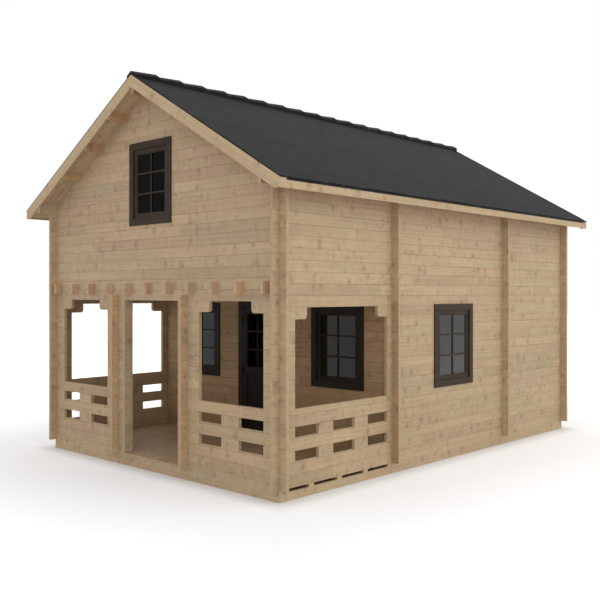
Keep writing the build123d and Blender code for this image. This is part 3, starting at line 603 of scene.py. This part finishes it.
def capping_felt():
    """Darker, smoother felt of the folded ridge pieces and the roof's edges."""
    sizes = bpy.context.scene.cabin_roof
    material, tree, shader = blank_material("capping_felt")
    place = object_place(tree)
    grit = noise(tree, place, 380.0, 2.0, 0.7)
    cloud = noise(tree, place, 5.0, 2.0)
    gritty = span(tree, grit, 0.3, 0.7, 0.7, 1.4, False)
    cloudy = span(tree, cloud, 0.3, 0.7, 0.85, 1.2, False)
    tone = shaded(tree, rgba(sizes.capping), times(tree, gritty, cloudy))
    surface(tree, shader, tone, span(tree, cloud, 0.3, 0.7, 0.62, 0.8))
    raised(tree, shader, grit, 0.4, 0.001)
    shader.inputs["Specular IOR Level"].default_value = 0.15
    return material


def glazing(name, tone, ior):
    """Tinted glass with the slight waves of a sealed unit."""
    material, tree, shader = blank_material(name)
    place = object_place(tree)
    waves = noise(tree, place, 1.4, 1.0)
    dust = noise(tree, place, 30.0, 3.0)
    colour = mixed(tree, span(tree, dust, 0.4, 0.8, 0.0, 0.3), rgba(tone), rgba(tone, 0.9))
    surface(tree, shader, colour, span(tree, dust, 0.3, 0.8, 0.0, 0.03))
    raised(tree, shader, waves, 0.03, 0.002)
    shader.inputs["Transmission Weight"].default_value = 1.0
    shader.inputs["IOR"].default_value = ior
    return material


def brushed_metal(name, dark, light):
    """Metal with fine brushing, between two colours."""
    material, tree, shader = blank_material(name)
    stretch = add_node(tree, "ShaderNodeMapping", values={"Scale": (60.0, 900.0, 900.0)})
    tree.links.new(object_place(tree), stretch.inputs["Vector"])
    brushing = noise(tree, stretch.outputs[0], 1.0, 2.0)
    colour = mixed(tree, brushing, rgba(dark), rgba(light))
    surface(tree, shader, colour, span(tree, brushing, 0.3, 0.7, 0.28, 0.42))
    shader.inputs["Metallic"].default_value = 1.0
    return material


def paint(names, material):
    """Gives CAD nodes one material."""
    for name in names:
        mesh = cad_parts[name].data
        mesh.materials.clear()
        mesh.materials.append(material)


# Modelling helpers

def deselect():
    """Leaves object mode with nothing selected."""
    if bpy.context.mode != "OBJECT":
        bpy.ops.object.mode_set(mode="OBJECT")
    bpy.ops.object.select_all(action="DESELECT")


def only(piece):
    """Selects one piece and makes it active."""
    deselect()
    piece.select_set(True)
    bpy.context.view_layer.objects.active = piece


def block(name, low, high, bevel):
    """Bevelled bar or board between two corners."""
    deselect()
    low, high = Vector(low), Vector(high)
    bpy.ops.mesh.primitive_cube_add(size=1.0, location=(low + high) / 2)
    piece = bpy.context.object
    piece.name = name
    piece.scale = high - low
    bpy.ops.object.transform_apply(location=True, rotation=True, scale=True)
    bpy.ops.object.mode_set(mode="EDIT")
    bpy.ops.mesh.select_all(action="SELECT")
    bpy.ops.mesh.bevel(offset=bevel, segments=1, affect="EDGES")
    bpy.ops.object.mode_set(mode="OBJECT")
    return piece


def side_block(name, way, near, far, bevel):
    """Block between two corners whose X is measured from the middle, on the side way points to."""
    low_x, high_x = sorted((way * near[0], way * far[0]))
    return block(name, (low_x, *near[1:]), (high_x, *far[1:]), bevel)


def joined(name, pieces):
    """One object made of several."""
    deselect()
    for piece in pieces:
        piece.select_set(True)
    bpy.context.view_layer.objects.active = pieces[0]
    bpy.ops.object.join()
    piece = bpy.context.object
    piece.name = name
    piece.data.name = name
    return piece


def place_piece(piece, body, material):
    """Gives a finished piece its material and body."""
    piece.data.materials.clear()
    piece.data.materials.append(material)
    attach(piece, body)


def placed(piece, columns, origin):
    """Turns a piece's mesh so that its own X, Y and Z follow three directions from an origin."""
    rows = Matrix([list(column) for column in columns]).transposed().to_4x4()
    rows.translation = Vector(origin)
    piece.data.transform(rows)
    piece.data.update()


def on_both_slopes(flat, name, top, material):
    """Lays a flat piece on the right slope, and a copy of it on the left one."""
    left = flat.copy()
    left.data = flat.data.copy()
    bpy.context.scene.collection.objects.link(left)
    left.name = left.data.name = name + "_left"
    flat.name = flat.data.name = name + "_right"
    left_down, left_out = (Vector((-way.x, way.y, way.z)) for way in (DOWN, OUT))
    placed(flat, (DOWN, (0, 1, 0), OUT), (0, 0, top))
    placed(left, (left_down, (0, -1, 0), left_out), (0, 0, top))
    for piece in (flat, left):
        place_piece(piece, HOUSE, material)


def frame_ring(name, width, height, margin, depth, chamfer):
    """Rectangular ring round an opening, its inner edge sloped back, standing on local Z = 0."""
    deselect()
    bpy.ops.mesh.primitive_plane_add(size=1.0)
    ring = bpy.context.object
    ring.name = name
    ring.scale = (width, height, 1.0)
    bpy.ops.object.transform_apply(location=True, rotation=True, scale=True)
    bpy.ops.object.mode_set(mode="EDIT")
    bpy.ops.mesh.select_mode(type="FACE")
    bpy.ops.mesh.select_all(action="SELECT")
    bpy.ops.mesh.inset(thickness=margin)
    bpy.ops.mesh.delete(type="FACE")
    bpy.ops.mesh.select_all(action="SELECT")
    bpy.ops.mesh.extrude_region_move(TRANSFORM_OT_translate={"value": (0.0, 0.0, depth)})
    bpy.ops.mesh.select_mode(type="EDGE")
    bpy.ops.mesh.select_all(action="DESELECT")
    bpy.ops.object.mode_set(mode="OBJECT")
    half_x, half_y = width / 2 - margin + 1e-5, height / 2 - margin + 1e-5
    for edge in ring.data.edges:
        ends = [ring.data.vertices[index].co for index in edge.vertices]
        edge.select = all(
            end.z > depth / 2 and abs(end.x) < half_x and abs(end.y) < half_y for end in ends
        )
    bpy.ops.object.mode_set(mode="EDIT")
    bpy.ops.mesh.bevel(offset=chamfer, segments=2, affect="EDGES")
    bpy.ops.mesh.select_all(action="SELECT")
    bpy.ops.mesh.normals_make_consistent(inside=False)
    bpy.ops.object.mode_set(mode="OBJECT")
    return ring


def pane_dressing(name, width, height, columns, rows):
    """Glazing bars and beads on both faces of a pane that lies about local Z = 0."""
    sizes = bpy.context.scene.cabin_joinery
    half, chamfer, lap = sizes.bar_width / 2, 0.003, 0.0005
    pieces = []
    for way in (-1, 1):
        face = way * PANE_HALF
        top = face + way * sizes.bar_depth
        low, high = min(face, top), max(face, top)
        for index in range(1, columns):
            x = width * (index / columns - 0.5)
            corners = (x - half, -height / 2, low), (x + half, height / 2, high)
            pieces.append(block(name, *corners, chamfer))
        for index in range(1, rows):
            y = height * (index / rows - 0.5)
            corners = (-width / 2, y - half, low), (width / 2, y + half, high - lap)
            pieces.append(block(name, *corners, chamfer))
        ring = frame_ring(name, width, height, sizes.bead, sizes.bar_depth, sizes.bar_depth * 0.7)
        placed(ring, ((1, 0, 0), (0, way, 0), (0, 0, way)), (0, 0, face))
        pieces.append(ring)
    return joined(name, pieces)


def knuckle(name, radius, length):
    """Hinge barrel of three knuckles with rounded ends, upright about local Y."""
    count, gap = 3, 0.0012
    pieces = []
    for index in range(count):
        deselect()
        bpy.ops.mesh.primitive_cylinder_add(
            vertices=12, radius=radius, depth=length / count - gap,
            location=(0, (index - 1) * length / count, 0), rotation=(math.pi / 2, 0, 0),
        )
        barrel = bpy.context.object
        bpy.ops.object.transform_apply(location=True, rotation=True, scale=True)
        bpy.ops.object.mode_set(mode="EDIT")
        bpy.ops.mesh.select_all(action="SELECT")
        bpy.ops.mesh.bevel(offset=gap, segments=1, affect="EDGES")
        bpy.ops.object.mode_set(mode="OBJECT")
        pieces.append(barrel)
    return joined(name, pieces)


def repeated(piece, count, offset):
    """Array modifier along an offset, applied."""
    only(piece)
    array = piece.modifiers.new("repeat", "ARRAY")
    array.count = count
    array.use_relative_offset = False
    array.use_constant_offset = True
    array.constant_offset_displace = offset
    bpy.ops.object.modifier_apply(modifier=array.name)
    return piece


def trimmed(piece, point, direction):
    """Cuts off and caps what lies beyond a plane."""
    only(piece)
    bpy.ops.object.mode_set(mode="EDIT")
    bpy.ops.mesh.select_all(action="SELECT")
    bpy.ops.mesh.bisect(plane_co=point, plane_no=direction, use_fill=True, clear_outer=True)
    bpy.ops.object.mode_set(mode="OBJECT")


class CABIN_OT_log_walls(bpy.types.Operator):
    """Give the logs their pine, and add the log ends beside the porch doorway."""

    bl_idname = "cabin.log_walls"
    bl_label = "Log Walls"

    def execute(self, context):
        # Painted shade: the entrance wall's logs under the porch get a darker, warmer copy of the
        # pine
        painted_shade = (0.86, 0.78, 0.70)
        paint(ACROSS, timber("pine_across", "XZY", shift=CROSS_SHIFT))
        paint(ALONG, timber("pine_along", "YZX"))
        paint(PAINTED_SHADE_NODES, timber("pine_painted_shade", "XZY", shift=CROSS_SHIFT, tint=painted_shade))
        paint(("doorway_stubs",), timber("pine_stubs", "YZX", joint=0.15))
        near = (DOORWAY_LOG_NEAR, LOG_END, COURSE)
        far = (DOORWAY_LOG_FAR, WALL_FACE + SEAT, 2 * COURSE)
        stacks = []
        for way in (-1, 1):
            log_end = side_block("log_end", way, near, far, 0.003)
            stacks.append(repeated(log_end, DOORWAY_COURSES, (0, 0, COURSE)))
        # Painted light: the doorway log ends get a lighter copy of the pine
        painted_light = timber("pine_log_ends_painted_light", "YZX", tint=(1.10, 1.05, 1.0))
        place_piece(joined("doorway_log_ends", stacks), HOUSE, painted_light)
        return {"FINISHED"}


class CABIN_OT_framing(bpy.types.Operator):
    """Give floors, joists and the roof's timbers their pine, and add joist ends and soffits."""

    bl_idname = "cabin.framing"
    bl_label = "Floor and Roof Framing"

    def execute(self, context):
        sawn = (0.440, 0.300, 0.180)
        light = (1.07, 1.05, 1.03)
        solid = {"joint": 0.0, "run": 9.0}
        bearers = timber("pine_bearers", "XYZ", course=0.4, joint=0.0, end=sawn)
        paint(("floor_bearers", "hatch_trimmers"), bearers)
        centred = {"course": JOIST_PITCH, "shift": -JOIST_PITCH / 2, **solid}
        joists = timber("pine_joists", "YXZ", end=(0.53, 0.40, 0.25), **centred)
        paint(("loft_joists",), joists)
        self.joist_ends(centred)
        warm = (0.93, 0.82, 0.70)
        purlins = timber(
            "pine_purlins", "YXZ", course=0.55, shift=0.27, tint=warm, end=sawn, **solid
        )
        paint(("purlins",), purlins)
        floors = timber("pine_floor", "YXZ", course=0.128, joint=0.6)
        paint(("cabin_floor", "loft_floor"), floors)
        deck = timber("pine_deck", "XYZ", course=0.121, joint=0.35, run=9.0)
        paint(("roof_deck_left", "roof_deck_right"), deck)
        self.soffit_boards(deck)
        fascia = timber("pine_fascia", "YZX", course=10.0, shift=-5.0, tint=light, run=3.8)
        paint(("eave_fascias",), fascia)
        for side, turn in (("right", -PITCH), ("left", PITCH)):
            board = timber(
                "pine_verge_" + side, "XZY", course=10.0, tint=light, turn=turn, **solid
            )
            paint(("verge_boards_" + side,), board)
        return {"FINISHED"}

    def joist_ends(self, courses):
        """Adds the row of joist ends over the porch and the same row at the back."""
        middle = -JOIST_PITCH * (JOIST_COUNT // 2)
        length = WALL_FACE + SEAT - LOG_END
        rows = []
        for start in (LOG_END, -WALL_FACE - SEAT):
            low = (middle - JOIST_HALF, start, JOIST_LOW)
            high = (middle + JOIST_HALF, start + length, JOIST_HIGH)
            joist_end = block("joist_end", low, high, 0.002)
            rows.append(repeated(joist_end, JOIST_COUNT, (JOIST_PITCH, 0, 0)))
        # Painted light: the joist ends get a lighter copy of the pine
        painted_light = timber(
            "pine_joist_ends_painted_light", "YXZ", tint=(1.17, 1.06, 0.97), end=(0.55, 0.42, 0.265), **courses
        )
        place_piece(joined("joist_ends", rows), HOUSE, painted_light)

    def soffit_boards(self, material):
        """Lines the overhangs with narrow boards that run from ridge to eave."""
        pitch = (DECK_HIGH.y - DECK_LOW.y) / SOFFIT_COUNT
        wall = WALL_SIDE / math.cos(PITCH)
        eave = DECK_HIGH.x / math.cos(PITCH)
        ridge_margin, eave_margin, gap, chamfer = 0.045, 0.012, 0.002, 0.0015
        under, over = -0.0035, 0.0005
        first = DECK_LOW.y + 0.001
        last = DECK_HIGH.y - 2 * pitch + 0.001
        low = (wall, first, under)
        high = (eave - eave_margin, DECK_LOW.y + pitch - gap, over)
        rows = [repeated(block("soffit", low, high, chamfer), SOFFIT_COUNT, (0, pitch, 0))]
        for start in (first, last):
            low = (ridge_margin, start, under)
            high = (wall - gap, start + pitch - 0.003, over)
            rows.append(repeated(block("soffit", low, high, chamfer), 2, (0, pitch, 0)))
        underside = DECK_LOW.z + (DECK_HIGH.x - DECK_LOW.x) * math.tan(PITCH)
        on_both_slopes(joined("soffit", rows), "soffit", underside, material)


class CABIN_OT_porch_boards(bpy.types.Operator):
    """Lay the porch floor in separate boards from the rail to the entrance wall."""

    bl_idname = "cabin.porch_boards"
    bl_label = "Porch Floorboards"

    def execute(self, context):
        low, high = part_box("porch_floor")
        in_doorway, beside, chamfer = 9, 12, 0.0022
        width = BOARD_PITCH - BOARD_GAP
        edge = DOORWAY_HALF + width
        near, far = (-DOORWAY_HALF, low.y, low.z), (-DOORWAY_HALF + width, high.y, high.z)
        middle = block("board", near, far, chamfer)
        boards = [repeated(middle, in_doorway, (BOARD_PITCH, 0, 0))]
        for way in (-1, 1):
            near, far = (STUB_SIDE, RAIL_BACK, low.z), (edge, STUB_BACK + 0.001, high.z)
            boards.append(side_block("board", way, near, far, chamfer))
            near, far = (DOORWAY_HALF, STUB_BACK, low.z), (edge, high.y, high.z)
            boards.append(side_block("board", way, near, far, chamfer))
            next_one = DOORWAY_HALF + BOARD_PITCH
            near, far = (next_one, RAIL_BACK, low.z), (next_one + width, high.y, high.z)
            outer = side_block("board", way, near, far, chamfer)
            boards.append(repeated(outer, beside, (way * BOARD_PITCH, 0, 0)))
            last = DOORWAY_HALF + (beside + 1) * BOARD_PITCH
            near, far = (last, RAIL_BACK, low.z), (high.x, high.y, high.z)
            boards.append(side_block("board", way, near, far, chamfer))
        floor = joined("porch_boards", boards)
        planed = timber(
            "pine_porch", "YXZ", course=BOARD_PITCH, shift=-DOORWAY_HALF, tint=(0.9, 0.85, 0.8)
        )
        place_piece(floor, HOUSE, planed)
        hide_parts("porch_floor")
        return {"FINISHED"}


class CABIN_OT_shingles(bpy.types.Operator):
    """Cover both slopes with staggered shingle tabs over the felt, and edge them."""

    bl_idname = "cabin.shingles"
    bl_label = "Roof Shingles"

    def execute(self, context):
        felt = shingle_face()
        capping = capping_felt()
        paint(("roof_felt_left", "roof_felt_right", "ridge_caps"), capping)
        on_both_slopes(self.flat_shingles(), "shingles", ROOF_TOP, felt)
        on_both_slopes(self.flat_edges(), "roof_edge", ROOF_TOP, capping)
        return {"FINISHED"}

    def flat_shingles(self):
        """Shingles of one slope, lying flat with the ridge at X = 0."""
        sizes = bpy.context.scene.cabin_roof
        lap, underside, chamfer, ridge_gap = 0.012, -0.0006, 0.0009, 0.004
        bedding = Matrix.Translation((0, 0, -sizes.bedded * sizes.thickness))
        rows = math.ceil(SLOPE_LENGTH / sizes.exposure)
        columns = math.ceil((EAVE_HIGH.y - EAVE_LOW.y) / sizes.tab) + 1
        tabs = []
        for stagger in (0, 1):
            near = SLOPE_LENGTH - (stagger + 1) * sizes.exposure - lap
            far = SLOPE_LENGTH - stagger * sizes.exposure
            start = EAVE_LOW.y - sizes.tab * (0.25 + stagger * 0.5)
            stop = start + sizes.tab - sizes.slot
            tab = block("tab", (near, start, underside), (far, stop, sizes.thickness), chamfer)
            tab.data.transform(bedding)
            tabs.append(repeated(tab, columns + 1, (0, sizes.tab, 0)))
        flat = joined("flat_shingles", tabs)
        repeated(flat, math.ceil(rows / 2), (-2 * sizes.exposure, 0, 0))
        trimmed(flat, (0, EAVE_HIGH.y, 0), (0, 1, 0))
        trimmed(flat, (0, EAVE_LOW.y, 0), (0, -1, 0))
        trimmed(flat, (ridge_gap, 0, 0), (-1, 0, 0))
        return flat

    def flat_edges(self):
        """Felt strips along the rakes and the eave of one slope, lying flat."""
        rake, eave, ridge_gap, thickness, chamfer = 0.036, 0.03, 0.06, 0.0065, 0.002
        rake_lift, eave_lift = 0.002, 0.001
        strips = []
        for start in (EAVE_LOW.y, EAVE_HIGH.y - rake):
            low = (ridge_gap, start, rake_lift)
            high = (SLOPE_LENGTH, start + rake, rake_lift + thickness)
            strips.append(block("strip", low, high, chamfer))
        low = (SLOPE_LENGTH - eave, EAVE_LOW.y, eave_lift)
        high = (SLOPE_LENGTH, EAVE_HIGH.y, eave_lift + thickness)
        strips.append(block("strip", low, high, chamfer))
        return joined("flat_edges", strips)


class CABIN_OT_windows(bpy.types.Operator):
    """Stain the frames, glaze the sashes and add bars, beads and hinges."""

    bl_idname = "cabin.windows"
    bl_label = "Windows"

    def execute(self, context):
        # Painted shade on the porch windows' frames and sashes, by a factor of 0.45
        stain = stained("window_stain", context.scene.cabin_joinery.stain, 0.45)
        metal = brushed_metal("blackened_steel", (0.02, 0.018, 0.016), (0.05, 0.045, 0.04))
        frames = ("porch_window_frames", "room_window_frames", "gable_window_frames")
        paint(frames + ("window_sashes",), stain)
        glass = {
            "room": glazing("clear_glass", (0.20, 0.20, 0.195), 1.38),
            "porch": glazing("porch_glass", (0.14, 0.14, 0.135), 1.30),
            "gable": glazing("shaded_glass", (0.12, 0.12, 0.12), 1.10),
        }
        for name, (centre, width, height, way) in WINDOWS.items():
            outward = Vector(way)
            columns = (Vector((0, 0, 1)).cross(outward), (0, 0, 1), outward)
            bars = pane_dressing(name + "_bars", width, height, 2, 3)
            corner = Vector((width / 2, height / 2, PANE_HALF))
            pane = block(name + "_pane", -corner, corner, 0.0003)
            placed(pane, columns, centre)
            place_piece(pane, HOUSE, glass[name.split("_")[0]])
            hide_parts("window_panes")
            placed(bars, columns, centre)
            place_piece(bars, HOUSE, stain)
            hinges = []
            for share in (-HINGE_SHARE, HINGE_SHARE):
                barrel = knuckle("barrel", HINGE_RADIUS, HINGE_LENGTH)
                seat = (-width / 2 - SASH_WIDTH - 0.001, share * height, SASH_FACE + 0.0065)
                barrel.data.transform(Matrix.Translation(Vector(seat)))
                hinges.append(barrel)
            pair = joined(name + "_hinges", hinges)
            placed(pair, columns, centre)
            place_piece(pair, HOUSE, metal)
        return {"FINISHED"}


class CABIN_OT_entrance(bpy.types.Operator):
    """Stain and glaze the entrance door, and add its bars and panel mouldings."""

    bl_idname = "cabin.entrance"
    bl_label = "Entrance Door"

    def execute(self, context):
        sizes = context.scene.cabin_joinery
        stain = stained("door_stain", sizes.door_stain)
        satin = brushed_metal("satin_steel", (0.16, 0.155, 0.145), (0.26, 0.25, 0.24))
        dark = brushed_metal("dark_steel", (0.012, 0.011, 0.010), (0.024, 0.022, 0.020))
        paint(("entrance_door",), stain)
        # Painted shade on the door frame, by a factor of 0.5
        paint(("entrance_door_frame",), stained("door_frame_stain", sizes.stain, 0.5))
        paint(("entrance_door_pane",), glazing("door_glass", (0.10, 0.10, 0.10), 1.2))
        paint(("door_handles",), satin)
        paint(("door_hinges",), dark)
        bars = pane_dressing("door_bars", *DOOR_GLASS, 3, 3)
        placed(bars, FACING_FRONT, DOOR_GLASS_MIDDLE)
        place_piece(bars, DOOR, stain)
        field_x, field_y = DOOR_FIELD
        mouldings = []
        for y, columns in ((DOOR_PANEL_FRONT, FACING_FRONT), (DOOR_PANEL_BACK, FACING_BACK)):
            ring = frame_ring("moulding", *DOOR_PANEL, 0.018, 0.010, 0.007)
            field = block("field", (-field_x, -field_y, 0.0), (field_x, field_y, 0.007), 0.0055)
            for piece in (ring, field):
                placed(piece, columns, (0, y, DOOR_PANEL_MIDDLE))
                mouldings.append(piece)
        place_piece(joined("door_panel", mouldings), DOOR, stain)
        return {"FINISHED"}


def seen_directly(tree):
    """One for camera, glossy and transmission rays, and zero for the light on the pieces."""
    path = tree.nodes.new("ShaderNodeLightPath")
    shown = maths(tree, "MAXIMUM", path.outputs["Is Camera Ray"], path.outputs["Is Glossy Ray"])
    return maths(tree, "MAXIMUM", shown, path.outputs["Is Transmission Ray"])


class CABIN_OT_stage(bpy.types.Operator):
    """Set the floor, the lamps, the surroundings and the camera."""

    bl_idname = "cabin.stage"
    bl_label = "Studio Stage"

    def execute(self, context):
        self.studio_floor(context)
        self.surroundings(context)
        for name, place, size, power in LAMPS:
            data = bpy.data.lights.new(name, "AREA")
            data.size = size
            data.energy = power
            lamp = bpy.data.objects.new(name, data)
            lamp.location = place
            aim = LAMP_AIM - Vector(place)
            lamp.rotation_euler = aim.to_track_quat("-Z", "Y").to_euler()
            context.scene.collection.objects.link(lamp)

        data = bpy.data.cameras.new("studio_camera")
        data.lens = CAMERA_LENS
        data.sensor_width = 36.0
        data.shift_y = CAMERA_SHIFT
        data.clip_end = 400.0
        camera = bpy.data.objects.new("studio_camera", data)
        camera.location = CAMERA_PLACE
        camera.rotation_euler = (math.pi / 2, 0, CAMERA_TURN)
        context.scene.collection.objects.link(camera)
        context.scene.camera = camera
        context.scene.view_settings.view_transform = "Standard"
        return {"FINISHED"}

    def studio_floor(self, context):
        """Pale floor that glows to white away from the cabin and keeps its shadow near it."""
        deselect()
        bpy.ops.mesh.primitive_plane_add(size=160.0, location=(0, 0, 0))
        floor = context.object
        floor.name = "studio_floor"
        bpy.ops.object.mode_set(mode="EDIT")
        bpy.ops.mesh.subdivide(number_cuts=3)
        bpy.ops.object.mode_set(mode="OBJECT")
        material, tree, shader = blank_material("studio_floor")
        place = object_place(tree)
        grey, pale = rgba((0.80, 0.80, 0.80)), rgba((0.82, 0.82, 0.82))
        colour = mixed(tree, noise(tree, place, 0.3), grey, pale)
        tree.links.new(colour, shader.inputs["Base Color"])
        shader.inputs["Roughness"].default_value = 0.9
        shader.inputs["Specular IOR Level"].default_value = 0.0
        inset, fade, near_glow, far_glow = 0.3, 7.0, 0.30, 0.75
        parts = split(tree, place)
        beyond = maths(tree, "MAXIMUM", *(
            maths(tree, "SUBTRACT", maths(tree, "ABSOLUTE", parts[index]), CAD_HIGH[index] - inset)
            for index in (0, 1)
        ))
        away = span(tree, beyond, 0.0, fade)
        glowing = span(tree, away, 0.0, 1.0, near_glow, far_glow, False)
        strength = times(tree, seen_directly(tree), glowing)
        strength = times(tree, strength, span(tree, beyond, -0.1, 0.35))
        glow = tree.nodes.new("ShaderNodeEmission")
        tree.links.new(strength, glow.inputs["Strength"])
        both = tree.nodes.new("ShaderNodeAddShader")
        tree.links.new(shader.outputs[0], both.inputs[0])
        tree.links.new(glow.outputs[0], both.inputs[1])
        output = next(node for node in tree.nodes if node.type == "OUTPUT_MATERIAL")
        tree.links.new(both.outputs[0], output.inputs["Surface"])
        floor.data.materials.append(material)

    def surroundings(self, context):
        """White world that lights the pieces a little more dimly than it shows."""
        dim, white = 0.72, 1.0
        world = bpy.data.worlds.new("studio")
        context.scene.world = world
        world.use_nodes = True
        tree = world.node_tree
        tree.nodes.clear()
        ground = add_node(tree, "ShaderNodeBackground", values={"Color": (1.0, 1.0, 1.0, 1.0)})
        level = span(tree, seen_directly(tree), 0.0, 1.0, dim, white, False)
        tree.links.new(level, ground.inputs["Strength"])
        output = tree.nodes.new("ShaderNodeOutputWorld")
        tree.links.new(ground.outputs[0], output.inputs["Surface"])


class CABIN_PT_finish(bpy.types.Panel):
    """Lists the cabin's settings and the operators that dress its pieces."""

    bl_idname = "CABIN_PT_finish"
    bl_label = "Cabin"
    bl_space_type = "VIEW_3D"
    bl_region_type = "UI"
    bl_category = "Cabin"

    def draw(self, context):
        for group in SETTINGS:
            settings = getattr(context.scene, group)
            box = self.layout.box()
            for name in settings.__annotations__:
                box.prop(settings, name)
        for operator in OPERATORS:
            self.layout.operator(operator.bl_idname)


SETTINGS = {
    "cabin_timber": CabinTimber, "cabin_roof": CabinRoof, "cabin_joinery": CabinJoinery,
}
OPERATORS = (
    CABIN_OT_log_walls, CABIN_OT_framing, CABIN_OT_porch_boards, CABIN_OT_shingles,
    CABIN_OT_windows, CABIN_OT_entrance, CABIN_OT_stage,
)
CLASSES = (*SETTINGS.values(), *OPERATORS, CABIN_PT_finish)


def register():
    for item in CLASSES:
        bpy.utils.register_class(item)
    for name, group in SETTINGS.items():
        setattr(bpy.types.Scene, name, bpy.props.PointerProperty(type=group))


def unregister():
    for name in SETTINGS:
        delattr(bpy.types.Scene, name)
    for item in reversed(CLASSES):
        bpy.utils.unregister_class(item)


def main():
    register()
    bpy.ops.cabin.log_walls()
    bpy.ops.cabin.framing()
    bpy.ops.cabin.porch_boards()
    bpy.ops.cabin.shingles()
    bpy.ops.cabin.windows()
    bpy.ops.cabin.entrance()
    bpy.ops.cabin.stage()


if __name__ == "__main__":
    main()
